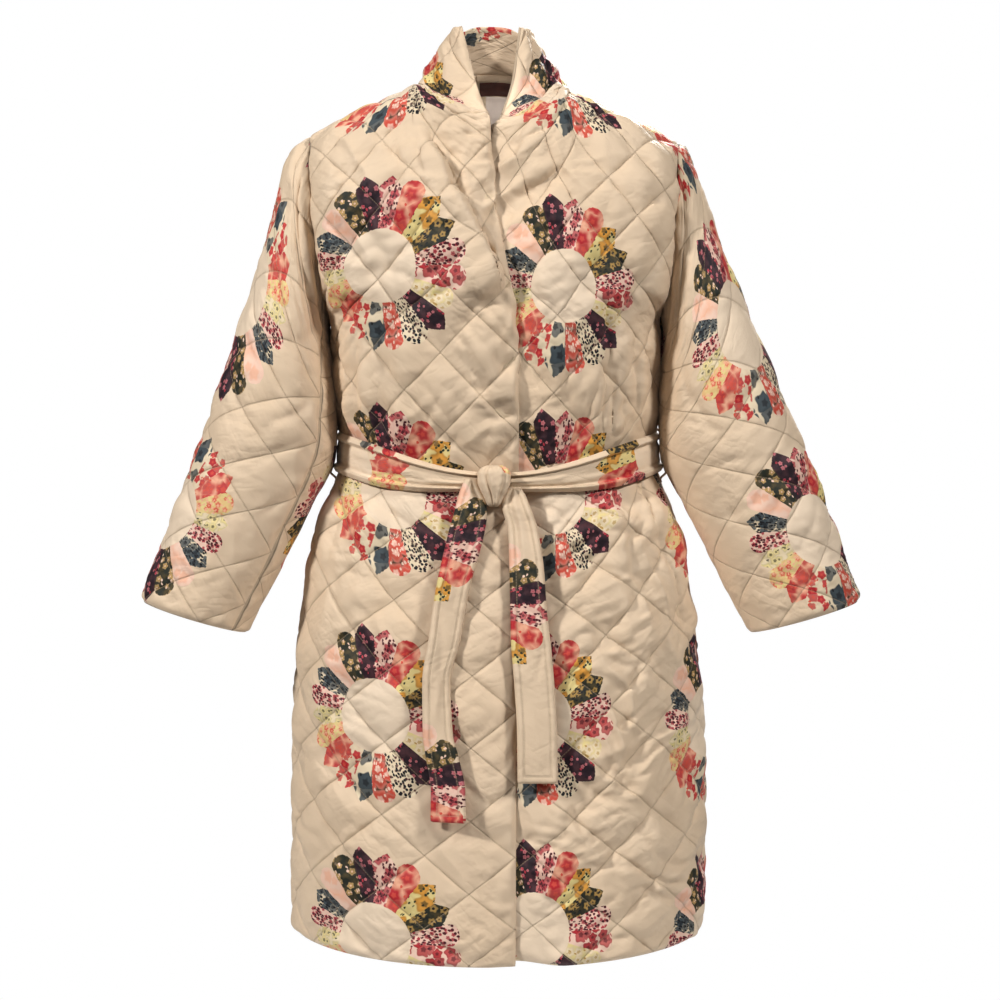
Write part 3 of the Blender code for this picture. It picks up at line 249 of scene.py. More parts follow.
# Smaller creases on each part's flat cloth: start and end, across and up, half width, rise, and
# the half width on the other side (right of a crease that runs down) where that is not the same
Crease = namedtuple("Crease", "across up to_across to_up width rise other", defaults=(None,))
CREASES = {
    "front": (
        Crease(-0.030, 0.820, 0.030, 0.700, 0.0060, -0.0036),
        Crease(-0.119, 0.940, -0.102, 0.870, 0.0060, -0.0020),
        Crease(-0.092, 0.930, -0.074, 0.860, 0.0060, -0.0016),
        Crease(-0.207, 0.715, -0.191, 0.570, 0.0060, -0.0032),
        Crease(-0.171, 0.705, -0.162, 0.580, 0.0060, -0.0026),
        Crease(-0.052, 0.690, -0.006, 0.628, 0.0055, -0.0030),
        Crease(-0.032, 0.700, 0.020, 0.628, 0.0070, 0.0026),
        Crease(-0.080, 0.650, -0.036, 0.590, 0.0055, -0.0022),
        Crease(-0.014, 0.740, 0.024, 0.680, 0.0050, -0.0026),
        Crease(-0.002, 0.705, 0.026, 0.655, 0.0040, -0.0020),
        Crease(-0.150, 0.830, -0.085, 0.700, 0.0080, -0.0020),
        Crease(-0.110, 0.780, -0.045, 0.655, 0.0080, -0.0018),
        Crease(-0.031, 0.525, -0.047, 0.400, 0.0070, -0.0026),
        Crease(-0.194, 0.505, -0.208, 0.410, 0.0070, -0.0022),
        Crease(-0.125, 0.495, -0.135, 0.390, 0.0070, -0.0016),
        Crease(-0.240, 0.500, -0.262, 0.350, 0.0080, 0.0026),
        Crease(-0.210, 0.340, -0.140, 0.260, 0.0080, -0.0014),
        Crease(-0.060, 0.300, -0.015, 0.200, 0.0080, -0.0014),
        Crease(-0.250, 0.180, -0.170, 0.110, 0.0080, -0.0014),
        Crease(0.037, 0.695, 0.034, 0.595, 0.0060, -0.0016),
        Crease(0.127, 0.760, 0.128, 0.640, 0.0060, -0.0040),
        Crease(0.124, 0.672, 0.121, 0.580, 0.0036, -0.0034),
        Crease(0.117, 0.656, 0.100, 0.590, 0.0036, -0.0030),
        Crease(0.137, 0.660, 0.132, 0.580, 0.0036, -0.0034),
        Crease(0.148, 0.640, 0.147, 0.580, 0.0036, -0.0028),
        Crease(0.169, 0.705, 0.169, 0.576, 0.0050, -0.0034),
        Crease(0.072, 0.700, 0.088, 0.600, 0.0060, -0.0022),
        Crease(0.132, 0.560, 0.160, 0.390, 0.0060, -0.0042, 0.0120),
        Crease(0.178, 0.560, 0.183, 0.456, 0.0038, -0.0046),
        Crease(0.179, 0.490, 0.244, 0.330, 0.0042, -0.0042),
        Crease(0.205, 0.530, 0.250, 0.370, 0.0120, 0.0030),
        Crease(0.092, 0.455, 0.116, 0.350, 0.0070, -0.0018),
        Crease(0.084, 0.886, -0.010, 0.818, 0.0070, -0.0110, 0.0150),
        Crease(0.062, 0.918, -0.006, 0.872, 0.0110, 0.0075),
        Crease(0.052, 0.970, 0.014, 0.900, 0.0060, -0.0030),
        Crease(0.040, 0.850, 0.016, 0.790, 0.0060, -0.0024),
        Crease(0.150, 0.900, 0.110, 0.790, 0.0080, -0.0018),
        Crease(0.200, 0.820, 0.140, 0.720, 0.0080, -0.0020),
        Crease(0.240, 0.300, 0.170, 0.210, 0.0080, -0.0016),
        Crease(0.110, 0.220, 0.060, 0.120, 0.0080, -0.0014),
    ),
    "back": (
        Crease(-0.170, 0.880, -0.110, 0.720, 0.0080, -0.0026),
        Crease(0.160, 0.870, 0.100, 0.700, 0.0080, -0.0024),
        Crease(-0.050, 0.720, -0.045, 0.580, 0.0060, 0.0028),
        Crease(0.066, 0.740, 0.062, 0.580, 0.0060, -0.0028),
        Crease(-0.116, 0.730, -0.110, 0.580, 0.0060, -0.0030),
        Crease(0.150, 0.700, 0.146, 0.580, 0.0060, 0.0028),
        Crease(-0.190, 0.690, -0.184, 0.580, 0.0060, -0.0030),
        Crease(-0.090, 0.530, -0.098, 0.380, 0.0070, -0.0030),
        Crease(0.022, 0.530, 0.026, 0.400, 0.0070, 0.0026),
        Crease(0.130, 0.530, 0.142, 0.360, 0.0080, -0.0026),
        Crease(-0.180, 0.530, -0.196, 0.390, 0.0070, 0.0028),
        Crease(-0.160, 0.300, -0.100, 0.160, 0.0080, -0.0018),
        Crease(0.190, 0.280, 0.130, 0.150, 0.0080, -0.0016),
    ),
    "sleeve_right": (
        Crease(-0.070, 0.475, 0.010, 0.434, 0.0060, -0.0050),
        Crease(0.000, 0.442, 0.068, 0.400, 0.0060, -0.0040),
        Crease(-0.030, 0.470, 0.080, 0.424, 0.0070, 0.0026),
        Crease(0.001, 0.322, 0.071, 0.420, 0.0060, -0.0020),
        Crease(-0.010, 0.216, 0.050, 0.290, 0.0060, -0.0022),
        Crease(-0.006, 0.184, 0.046, 0.236, 0.0055, -0.0018),
        Crease(-0.016, 0.026, 0.026, 0.064, 0.0055, -0.0013),
        Crease(0.014, 0.122, 0.056, 0.168, 0.0055, -0.0016),
        Crease(0.180, 0.400, 0.240, 0.300, 0.0090, -0.0030),
        Crease(0.190, 0.260, 0.250, 0.210, 0.0080, -0.0024),
    ),
    "sleeve_left": (
        Crease(-0.043, 0.340, -0.040, 0.245, 0.0055, -0.0022),
        Crease(-0.040, 0.302, -0.012, 0.214, 0.0055, -0.0024),
        Crease(0.036, 0.476, -0.090, 0.446, 0.0070, -0.0030),
        Crease(-0.020, 0.450, -0.070, 0.380, 0.0060, -0.0024),
        Crease(-0.058, 0.199, 0.004, 0.199, 0.0060, -0.0019),
        Crease(-0.058, 0.138, 0.006, 0.145, 0.0060, -0.0014),
        Crease(-0.200, 0.400, -0.250, 0.300, 0.0090, -0.0030),
        Crease(-0.200, 0.260, -0.250, 0.200, 0.0080, -0.0024),
    ),
}
CREASE_WANDER, CREASE_WANDER_SIZE = 0.0035, 0.040

# The lapel's roll on the right front's flat cloth: a slow rise to a crest that leans over to its
# right, a steep drop, and a slow rise again
ROLL_FROM, ROLL_TO = (-0.088, 0.930), (0.012, 0.738)
ROLL_RISE, ROLL_LEFT = 0.0185, 0.050  # height of the crest and width of the rise on its left
ROLL_DROP, ROLL_RIGHT = 0.0020, 0.020  # depth of the trough and its width on the right
ROLL_STEEP = 0.0095  # width of the drop
ROLL_OVER, ROLL_OVER_WIDE = 0.0050, 0.0080  # how far the crest leans over, and half of what leans
ROLL_START, ROLL_END = 0.22, 0.12  # shares of its length over which it grows and dies

# Fullness above the belt at the sides, and of the sleeves' inner sides next to it, by the turn round
# the sleeve and the height above its cuff
BLOUSE, BLOUSE_SHARE = 0.0055, 0.78  # from this share of a half row to the side seam
BLOUSE_LOW, BLOUSE_HIGH, BLOUSE_FADE = -0.405, -0.272, 0.026  # side heights
INNER_FULL, INNER_TURN, INNER_WIDE = 0.0060, math.radians(-28), math.radians(34)
INNER_LOW, INNER_HIGH, INNER_FADE = 0.200, 0.420, 0.060
SLEEVE_PUFF = 0.78  # share of the puff on the sleeves
BODY_PRESS, BODY_PRESS_WIDE = 0.80, math.radians(52)  # share they lose where they face the body

# Sleeve rings seen from the front, from below the sleeve head to the cuff
Cuff = namedtuple("Cuff", "outer_right outer_left outer_z inner_x inner_z depth middle")
SLEEVE = (
    Cuff(0.2340, 0.2270, -0.070, 0.1950, -0.279, 0.064, -0.001),
    Cuff(0.2480, 0.2440, -0.120, 0.1940, -0.303, 0.066, -0.010),
    Cuff(0.2650, 0.2660, -0.185, 0.1925, -0.330, 0.067, -0.020),
    Cuff(0.2865, 0.2920, -0.255, 0.1905, -0.362, 0.066, -0.030),
    Cuff(0.3180, 0.3250, -0.345, 0.1900, -0.408, 0.065, -0.038),
    Cuff(0.3660, 0.3740, -0.474, 0.2390, -0.530, 0.061, -0.044),
    Cuff(0.4070, 0.4125, -0.588, 0.2880, -0.625, 0.056, -0.047),
)
SEAM_TURN = {-1: math.radians(38), 1: math.radians(-25)}  # sleeve seam, from the inner side

# Hanging tails: height, middle, width, and how far they stand off the cloth below
Tail = namedtuple("Tail", "height middle width off twist")
TAIL_RIGHT = (
    Tail(-0.4520, -0.0300, 0.011, 0.0085, 0.10),
    Tail(-0.4630, -0.0305, 0.019, 0.0095, 0.10),
    Tail(-0.4740, -0.0294, 0.028, 0.0105, 0.10),
    Tail(-0.4850, -0.0300, 0.032, 0.0130, 0.10),
    Tail(-0.5126, -0.0355, 0.036, 0.0115, 0.10),
    Tail(-0.5730, -0.0500, 0.033, 0.0100, 0.15),
    Tail(-0.6285, -0.0587, 0.031, 0.0090, 0.25),
    Tail(-0.6730, -0.0669, 0.027, 0.0080, 0.30),
    Tail(-0.7290, -0.0658, 0.029, 0.0080, 0.00),
    Tail(-0.7530, -0.0614, 0.032, 0.0090, -0.15),
    Tail(-0.7910, -0.0549, 0.034, 0.0110, -0.25),
    Tail(-0.8220, -0.0549, 0.035, 0.0120, -0.30),
)
TAIL_LEFT = (
    Tail(-0.4630, 0.0178, 0.014, 0.0090, -0.10),
    Tail(-0.4740, 0.0182, 0.025, 0.0105, -0.10),
    Tail(-0.4850, 0.0206, 0.028, 0.0130, -0.10),
    Tail(-0.5025, 0.0261, 0.029, 0.0125, -0.10),
    Tail(-0.5470, 0.0310, 0.034, 0.0110, -0.10),
    Tail(-0.5930, 0.0332, 0.036, 0.0090, 0.00),
    Tail(-0.6380, 0.0365, 0.040, 0.0080, 0.05),
    Tail(-0.6787, 0.0398, 0.040, 0.0080, 0.05),
    Tail(-0.7290, 0.0425, 0.040, 0.0080, 0.05),
    Tail(-0.7804, 0.0430, 0.040, 0.0080, 0.00),
)
TAIL_WALL = 0.0040
TAIL_CROWN = 0.0016  # the wadding makes its middle a little thicker
TAIL_CELLS = 28  # across a tail
TAIL_CELL = 0.0022  # along it
TAIL_EDGE, TAIL_EDGE_RISE = 0.0045, 0.0009  # seam allowance inside the long edges
TAIL_WAVE, TAIL_WAVE_SIZE = 0.0014, 0.030
TAIL_FOLD_START = 0.15  # a fold starts this share of its length above its top

# Lengthwise folds of a tail: place across at top and bottom, heights, half width, rise
TailFold = namedtuple("TailFold", "top_at top bottom_at bottom width rise")
TAIL_FOLDS = {
    "right": (
        TailFold(-0.10, -0.455, -0.20, -0.560, 0.0035, 0.0016),
        TailFold(0.24, -0.455, 0.10, -0.600, 0.0030, -0.0014),
        TailFold(-0.30, -0.600, 0.34, -0.690, 0.0050, -0.0018),
        TailFold(0.30, -0.650, -0.34, -0.735, 0.0050, 0.0016),
        TailFold(-0.05, -0.700, 0.20, -0.800, 0.0050, 0.0010),
    ),
    "left": (
        TailFold(-0.20, -0.468, -0.30, -0.590, 0.0028, -0.0017),
        TailFold(0.00, -0.468, -0.06, -0.570, 0.0032, 0.0018),
        TailFold(0.22, -0.468, 0.26, -0.560, 0.0026, -0.0016),
        TailFold(-0.34, -0.610, 0.10, -0.665, 0.0040, -0.0016),
        TailFold(0.10, -0.668, 0.40, -0.625, 0.0040, -0.0016),
        TailFold(-0.10, -0.690, 0.10, -0.775, 0.0060, 0.0009),
    ),
}

# Small pieces
LOOP_WIDTH = 0.009
LOOP_WALL, LOOP_CROWN, LOOP_CROWN_POWER = 0.0016, 0.0008, 0.5
LOOP_REACH = 0.036  # above and below the belt's middle
LOOP_OVER_BELT = 0.0100
LOOP_STEEPNESS, LOOP_FLAT_END = 3.6, 0.25  # how fast its ends climb from the cloth
LOOP_ROWS, LOOP_COLUMNS = 72, 12
TRIM_WALL = 0.0010
TRIM_ROWS, TRIM_COLUMNS = 24, 60
TRIM_REACH = 6  # grid rows below the neck seam that the strips lie on
TRIM_OFF = 0.0004  # over the lining
TRIM_WAVE, TRIM_WAVE_SIZE = 0.0006, 0.012

# Strips inside the back of the neck: size, height of the top edge, and extra clearance
Trim = namedtuple("Trim", "width height top off")
LABEL = Trim(0.026, 0.040, 0.0190, 0.0016)
TAPE = Trim(0.042, 0.012, 0.0325, 0.0013)
HANGER = Trim(0.050, 0.004, 0.0378, 0.0007)

# Middles of the print's rings on each piece's flat cloth: across from its middle line, to the
# right as seen from outside, and up from its lower edge
RING_REPEAT = 0.25
RINGS = {
    "front_right": (
        (-0.130, 1.020), (-0.127, 0.771), (-0.123, 0.520), (-0.139, 0.267), (-0.138, 0.022),
        (-0.385, 0.890), (-0.385, 0.390),
    ),
    "front_left": (
        (0.092, 1.010), (0.077, 0.750), (0.064, 0.522), (0.044, 0.270), (0.042, 0.038),
        (0.272, 0.482), (0.272, 0.240), (0.272, -0.006), (0.268, 1.020),
    ),
    "back": tuple(
        (across, 0.030 + RING_REPEAT * row + lift)
        for row in range(5)
        for across, lift in ((-0.255, 0.0), (0.0, 0.02), (0.255, 0.0))
    ),
    "collar_back": ((0.036, 1.212), (-0.180, 1.090)),
    "sleeve_right": (
        (-0.084, 0.336), (-0.078, 0.100), (-0.084, 0.575), (-0.264, 0.420), (-0.264, 0.174),
    ),
    "sleeve_left": (
        (0.054, 0.316), (0.050, 0.088), (0.095, 0.532), (-0.196, 0.430), (-0.196, 0.180),
    ),
    "belt_front_right": ((-0.186, -0.012),),
    "belt_front_left": ((0.202, 0.008),),
    "belt_back": ((-0.10, 0.07), (0.16, -0.06)),
    "belt_knot": ((0.085, -0.400),),
    "belt_tail_right": ((-0.070, -0.520), (-0.070, -0.784)),
    "belt_tail_left": ((-0.074, -0.588), (-0.066, -0.850)),
}
RING_SQUEEZE = {"front_left": 1.14, "front_right": 0.97}  # rings look this much narrower
RING_SQUEEZE_PLAIN = 1.04
FAR_RING = ((1.0, 1.0),)  # for a piece without print
PRINT_TURN = {  # clockwise turn of the print on pieces cut another way round
    "sleeve_right": math.pi,
    "belt_tail_right": math.pi / 2,
    "belt_tail_left": math.pi / 2,
    "belt_front_right": math.radians(210),
    "belt_front_left": math.radians(225),
}
SEWN_ON = ("belt_loop_right", "belt_loop_left", "hanger_loop")  # narrow strips sewn onto the coat
ROUND_WAIST = ("belt_front_right", "belt_front_left", "belt_back")

# Print: a ring of wedge-shaped patches round a plain middle
RING_INSIDE, RING_OUTSIDE = 0.041, 0.088
TIP_HEIGHT = 0.013  # of a pointed or rounded end
PRINT_WOBBLE = 0.0009
SPECKS_ROUND, SPECKS_OUT = 150.0, 230.0  # specks in one turn of the ring and in a metre outward
PRINT_EDGE = 0.0004  # half of the width over which a printed edge is soft
WOBBLE_SCALE, WASH_SCALE, WASH_DETAIL = 260.0, 95.0, 3.0  # noise scales, in changes to a metre
WASH_FROM, WASH_TO = 0.35, 0.75
REACH_SCALE, APART_SCALE = 20.0, 50.0  # bring lengths between 0 and 1, as a ramp needs them
FLOWER_SCATTER, FLOWER_TURN = 0.8, 6.0  # how far flowers leave an even grid, and turn by chance
FLOWER_LEAST, FLOWER_MORE = 0.75, 0.5  # their sizes by chance, as shares of the patch's own
PETALS, PETAL_DEPTH, PETAL_RIM = 5, 0.14, 0.55
BLUR_LEAST, BLUR_MORE = 0.10, 0.75
EYE_SIZE, EYE_SOFT = 0.34, 0.10
SPECK_SIZE, SPECK_SOFT, COVER_SOFT = 0.40, 0.06, 0.02
WASH_SHOWS, SHADE_SHOWS, RIM_SHOWS, EYE_SHOWS, MIDDLE_SHOWS = 0.42, 0.25, 0.25, 0.7, 0.8

# Patches clockwise from the top: ground, flower and speck colours, distance between flowers,
# their size as a share of it, how soft they are, cover of specks, pointed (1) or rounded (0)
# end, and reach
Patch = namedtuple("Patch", "ground flower speck apart size soft specks point reach")
PLUM = (0.021, 0.008, 0.014)
OLIVE = (0.020, 0.023, 0.014)
CREAM = (0.72, 0.60, 0.43)
PINK = (0.50, 0.19, 0.20)
CORAL = (0.62, 0.095, 0.060)
CRIMSON = (0.44, 0.014, 0.026)
BLUSH = (0.76, 0.55, 0.44)
MAROON = (0.085, 0.012, 0.018)
YELLOW = (0.66, 0.31, 0.045)
STRAW = (0.70, 0.58, 0.27)
SLATE = (0.046, 0.068, 0.082)
INK = (0.012, 0.012, 0.015)
PEACH = (0.76, 0.42, 0.28)
LEAF = (0.030, 0.040, 0.020)
OCHRE = (0.46, 0.29, 0.09)
ROSE = (0.46, 0.045, 0.065)
PATCHES = (
    Patch(BLUSH, ROSE, MAROON, 0.0120, 0.46, 0.4, 0.42, 1, 0.004),
    Patch(PEACH, CRIMSON, CORAL, 0.0170, 0.50, 1.0, 0.05, 0, 0.002),
    Patch(STRAW, YELLOW, LEAF, 0.0200, 0.40, 0.2, 0.16, 1, 0.001),
    Patch(OLIVE, OCHRE, INK, 0.0115, 0.32, 0.3, 0.20, 1, -0.002),
    Patch(BLUSH, ROSE, MAROON, 0.0060, 0.34, 0.3, 0.50, 0, 0.000),
    Patch(BLUSH, CRIMSON, MAROON, 0.0115, 0.58, 0.1, 0.06, 0, 0.001),
    Patch(STRAW, CREAM, OCHRE, 0.0120, 0.50, 0.9, 0.10, 0, -0.006),
    Patch(PLUM, PINK, ROSE, 0.0095, 0.20, 0.3, 0.06, 1, 0.004),
    Patch(CREAM, MAROON, INK, 0.0055, 0.24, 0.2, 0.60, 0, 0.000),
    Patch(LEAF, CORAL, BLUSH, 0.0160, 0.62, 0.4, 0.34, 0, 0.000),
    Patch(CREAM, SLATE, INK, 0.0190, 0.54, 0.1, 0.06, 1, 0.003),
    Patch(CREAM, CRIMSON, CORAL, 0.0120, 0.42, 0.3, 0.10, 0, -0.001),
    Patch(PEACH, CRIMSON, CORAL, 0.0180, 0.44, 0.8, 0.16, 1, -0.002),
    Patch(STRAW, CORAL, PEACH, 0.0085, 0.32, 0.8, 0.34, 0, -0.007),
    Patch(CREAM, STRAW, OLIVE, 0.0100, 0.50, 0.9, 0.16, 1, -0.011),
    Patch(BLUSH, ROSE, MAROON, 0.0060, 0.34, 0.3, 0.46, 0, -0.009),
    Patch(CREAM, SLATE, INK, 0.0095, 0.60, 0.3, 0.40, 1, -0.007),
    Patch(PEACH, BLUSH, PEACH, 0.0240, 0.70, 1.0, 0.00, 0, -0.002),
    Patch(OLIVE, OCHRE, BLUSH, 0.0105, 0.32, 0.4, 0.10, 0, 0.001),
    Patch(PLUM, PINK, ROSE, 0.0105, 0.20, 0.3, 0.08, 1, 0.007),
)

# Colours of the cloth, in linear light
GROUND = (0.690, 0.550, 0.405)
GROUND_WARM = (0.640, 0.488, 0.338)
RING_MIDDLE = (0.735, 0.602, 0.460)
LINING = (0.640, 0.505, 0.355)
THREAD = (0.560, 0.420, 0.270)
TAPE_BROWN, TAPE_DARK = (0.105, 0.030, 0.018), (0.045, 0.012, 0.008)
LABEL_PALE, LABEL_SHADE = (0.740, 0.640, 0.560), (0.640, 0.540, 0.470)

# Weave and sewing, in metres
THREAD_PITCH = 0.00055  # from one thread of the weave to the next
STITCH_LENGTH = 0.0032
STITCH_WIDTH = 0.0008
STITCH_SOFT_OUT, STITCH_SOFT_IN = -0.0003, 0.0001  # where a thread's edge fades
STITCH_SHARE, STITCH_SHARE_SOFT = 0.38, 0.06  # half of the share of a stitch that shows
TOPSTITCH_IN = 0.0055  # from the edge of a belt, tail or loop
# half width and strength of the groove beside a topstitched line, which the relief presses in and painted
# shade darkens
TOPSTITCH_GROOVE, TOPSTITCH_PULL = 0.0010, 0.7
QUILT_GROOVE = 0.0007  # half width of a line of quilting's groove, which the relief presses in and painted shade darkens
SEAM_SHADE, SEAM_SOFT_OUT, SEAM_SOFT_IN = 0.0016, -0.0008, 0.0004  # line at a seam, which the relief presses in and painted shade darkens
SEAM_PULL = 2.6

# Finish of the cotton: shares that the painted shade in the grooves and the thread show, heights of
# the finest relief, and its long wrinkles, with the patches of cloth where they are stronger
MOTTLE_SCALE, MOTTLE_DETAIL, MOTTLE_SHOWS = 9.0, 4.0, 0.7
COTTON_ROUGH, COTTON_ROUGHER = 0.56, 0.16
PAINTED_SHADE_SHOWS, PAINTED_GROOVE_SHADE, THREAD_SHOWS = 0.17, 0.45, 0.3
WEAVE_HEIGHT, THREAD_HEIGHT, GROOVE_DEPTH = 0.00002, 0.0003, 0.0008
Wrinkle = namedtuple("Wrinkle", "turn scale stretch height more patch patch_from patch_to")
WRINKLES = (
    Wrinkle(math.radians(-38), 44.0, 2.6, 0.0003, 0.0017, 11.0, 0.35, 0.65),
    Wrinkle(math.radians(24), 54.0, 2.4, 0.0002, 0.0014, 13.0, 0.40, 0.62),
    Wrinkle(0.0, 150.0, 1.0, 0.0001, 0.0001, 11.0, 0.35, 0.65),
)

# Finish of the tape and the label
TAPE_RIB, TAPE_RIB_HEIGHT, TAPE_WAVE_HEIGHT = 0.0009, 0.00003, 0.0004
TAPE_ROUGH, TAPE_ROUGHER = 0.26, 0.16
TAPE_SHADE_SCALE, TAPE_ROUGH_SCALE, TAPE_WAVE_SCALE = 120.0, 60.0, 90.0
LABEL_RIB, LABEL_RIB_HEIGHT, LABEL_RIB_SHOWS, LABEL_STITCH_HEIGHT = 0.0007, 0.00002, 0.2, 0.0002
LABEL_ROUGH, LABEL_ROUGHER = 0.66, 0.15
LABEL_SHADE_SCALE, LABEL_SHADE_DETAIL, LABEL_ROUGH_SCALE = 70.0, 3.0, 80.0

# Working values
ROW_SAMPLES = 241  # points worked out along half a row
HALF_ROW = 0.25  # about the length of half a row, to turn widths into shares of it
BODY_GAUGE, COLLAR_GAUGE = 0.6, 0.3  # shares of a row where lengths are measured
SEAM_SAMPLES = 200  # points along an armhole's front or back half
SKIN_ROWS, SKIN_COLUMNS, SKIN_SHARE = 240, 81, 0.6  # the plain front that the belt hangs on
NOISE_CELLS = 257  # size of the table of random heights
BELT_SEED, TAIL_SEED, TRIM_SEED = 41, 51, 61
FRONT_SEED, BACK_SEED, SLEEVE_SEED, LAPEL_SEED = 71, 72, 73, 74
PANEL_SEED_STEP = 20
TINY = 1e-12  # keeps a length from being 0
LINE_SHIFT, LINE_NEAR = 1e-6, 1e-4  # in cells, so that no line of stitching is missed by rounding

# Camera, stage and light. A lamp's size is a box's width or a spot's radius
CAMERA_AT, CAMERA_LENS, CAMERA_SENSOR = (0.002, -2.4, -0.474), 73.8, 36.0
FLOOR_HEIGHT, FLOOR_RADIUS, FLOOR_SIDES = -1.42, 1.10, 96
FLOOR_PALE, FLOOR_ROUGH = (0.74, 0.74, 0.74, 1.0), 0.8
PICTURE_GAMMA = 0.86
ROOM_LIGHT = 0.10  # share of the white room's brightness that lights the coat
SPOT_ANGLE, SPOT_BLEND = math.radians(1.7), 0.5
COAT_MIDDLE, LABEL_MIDDLE = (0.0, 0.0, -0.42), (-0.002, 0.095, 0.006)
Lamp = namedtuple("Lamp", "name kind at aim size power")
LAMPS = (
    Lamp("left_box", "AREA", (-3.30, -2.45, 1.90), COAT_MIDDLE, 0.50, 196.0),
    Lamp("right_box", "AREA", (3.00, -2.80, 2.50), COAT_MIDDLE, 0.80, 176.0),
    Lamp("front_box", "AREA", (0.50, -2.90, 0.60), COAT_MIDDLE, 0.90, 5.0),
    Lamp("neck_light", "SPOT", (0.00, -2.30, -0.30), LABEL_MIDDLE, 0.02, 150.0),
    Lamp("back_box", "AREA", (0.90, 2.90, 1.80), COAT_MIDDLE, 0.60, 150.0),
)


def smooth(share):
    """0 below 0, 1 above 1, and an S-curve between."""
    share = np.clip(share, 0.0, 1.0)
    return share * share * (3.0 - 2.0 * share)


def bell(away, width):
    """1 where away is 0, dying on both sides of it."""
    return np.exp(-((away / width) ** 2))


def rise_and_die(along):
    """A fold's strength along its length, which is 0 at its ends and beyond them."""
    return np.sin(math.pi * np.clip(along, 0, 1)) ** FOLD_TAPER


def spline(knots, values, at):
    """A cubic through values, along their first axis, that never overshoots them."""
    knots, values, at = (np.asarray(v, float) for v in (knots, values, at))
    tail = (1,) * (values.ndim - 1)
    step = np.diff(knots).reshape(-1, *tail)
    slope = np.diff(values, axis=0) / step
    before, after = slope[:-1], slope[1:]
    near, far = 2 * step[1:] + step[:-1], step[1:] + 2 * step[:-1]
    agree = before * after > 0
    safe_before = np.where(agree, before, 1.0)
    safe_after = np.where(agree, after, 1.0)
    inner = np.where(agree, (near + far) / (near / safe_before + far / safe_after), 0.0)
    rate = np.concatenate([slope[:1], inner, slope[-1:]])
    cell = np.clip(np.searchsorted(knots, at, side="right") - 1, 0, len(knots) - 2)
    width = step[cell]
    t = (at - knots[cell]).reshape(-1, *tail) / width
    return (
        values[cell] * (1 + 2 * t) * (1 - t) ** 2
        + rate[cell] * width * t * (1 - t) ** 2
        + values[cell + 1] * t * t * (3 - 2 * t)
        + rate[cell + 1] * width * t * t * (t - 1)
    )


def distances(points, axis=0):
    """How far along its line each point lies from the line's first point."""
    step = np.linalg.norm(np.diff(points, axis=axis), axis=-1)
    start = np.zeros_like(step.take([0], axis))
    return np.concatenate([start, np.cumsum(step, axis=axis)], axis=axis)


def at_places(places, along, points):
    """The points of a line at these places along it."""
    return np.stack([np.interp(places, along, points[:, k]) for k in range(3)], axis=1)


def evenly(points, samples):
    """A line's points again, evenly spaced along it."""
    along = distances(points)
    return at_places(np.linspace(0, along[-1], samples), along, points)


def grid(rows, columns):
    """Two nets, one with each row's value and one with each column's."""
    return np.meshgrid(rows, columns, indexing="ij")


def quarter_ring(half_width, middle, side, height, drop, power, samples):
    """A quarter of a ring at +X, from the centre line, which hangs lower by drop, to the side."""
    turn = np.linspace(0, math.pi / 2, 4 * ROW_SAMPLES)
    across, inward = np.sin(turn) ** (2 / power), np.cos(turn) ** (2 / power)
    fall = drop * np.cos(turn) ** 2
    points = [half_width * across, side + (middle - side) * inward, height - fall]
    return evenly(np.stack(points, axis=1), samples)


def torso_row(section, front):
    """Half a row of the torso."""
    if front:
        middle, side, drop = -section.front, section.front_side, section.front_drop
    else:
        middle, side, drop = section.back, section.back_side, section.back_drop
    height, power = section.height, section.power
    return quarter_ring(section.half_width, middle, side, height, drop, power, ROW_SAMPLES)


def neck_row(ring, front, samples):
    """A quarter of a ring of the neck."""
    middle, low = (ring.front, ring.low) if front else (ring.back, ring.top)
    drop = ring.high - low
    return quarter_ring(ring.half_width, middle, ring.side, ring.high, drop, ring.power, samples)


def half_net(front):
    """All half rows at +X, hem first: torso, the row that turns over, shoulder, collar."""
    rows = [torso_row(section, front) for section in TORSO]
    neck_samples = round(NECK_SHARE * (ROW_SAMPLES - 1)) + 1
    base = neck_row(NECK[0], front, neck_samples)
    run = np.linspace(0, 1, ROW_SAMPLES - neck_samples + 1)[1:, None]
    shoulder = np.concatenate([base, base[-1] + (np.array(SHOULDER_TIP) - base[-1]) * run])
    chest = rows[-1]
    turn = np.array([math.sin(ROUND_OVER), 1 - math.cos(ROUND_OVER), math.sin(ROUND_OVER)])
    rows += [chest + (shoulder - chest) * turn, shoulder]
    for ring in NECK[1:]:
        collar = neck_row(ring, front, neck_samples)
        beyond = shoulder[neck_samples:] + BEYOND_COLLAR * (rows[-1] - rows[-2])[neck_samples:]
        rows.append(np.concatenate([collar, beyond]))
    return np.array(rows)


def whole_net(front):
    """Rows from -X to +X, with the neck's small shift to one side."""
    half = half_net(front)
    mirrored = half[:, :0:-1] * np.array([-1.0, 1.0, 1.0])
    net = np.concatenate([mirrored, half], axis=1)
    share = np.abs(np.linspace(-1, 1, net.shape[1]))
    at_neck = 1 - smooth((share - NECK_SHARE) / NECK_SHARE)
    for row, ring in zip(range(-len(NECK), 0), NECK):
        net[row, :, 0] += ring.shift * at_neck
    return net


NETS = {"front": whole_net(True), "back": whole_net(False)}
NET_SHARES = np.linspace(-1, 1, 2 * ROW_SAMPLES - 1)
SHOULDER_ROW = len(TORSO) + 1


def row_lengths(share, first, last):
    """How far each net row lies above the first one, along the front at a share of a row."""
    return distances(NETS["front"][first : last + 1, ROW_SAMPLES - 1 + round(share * ROW_SAMPLES)])


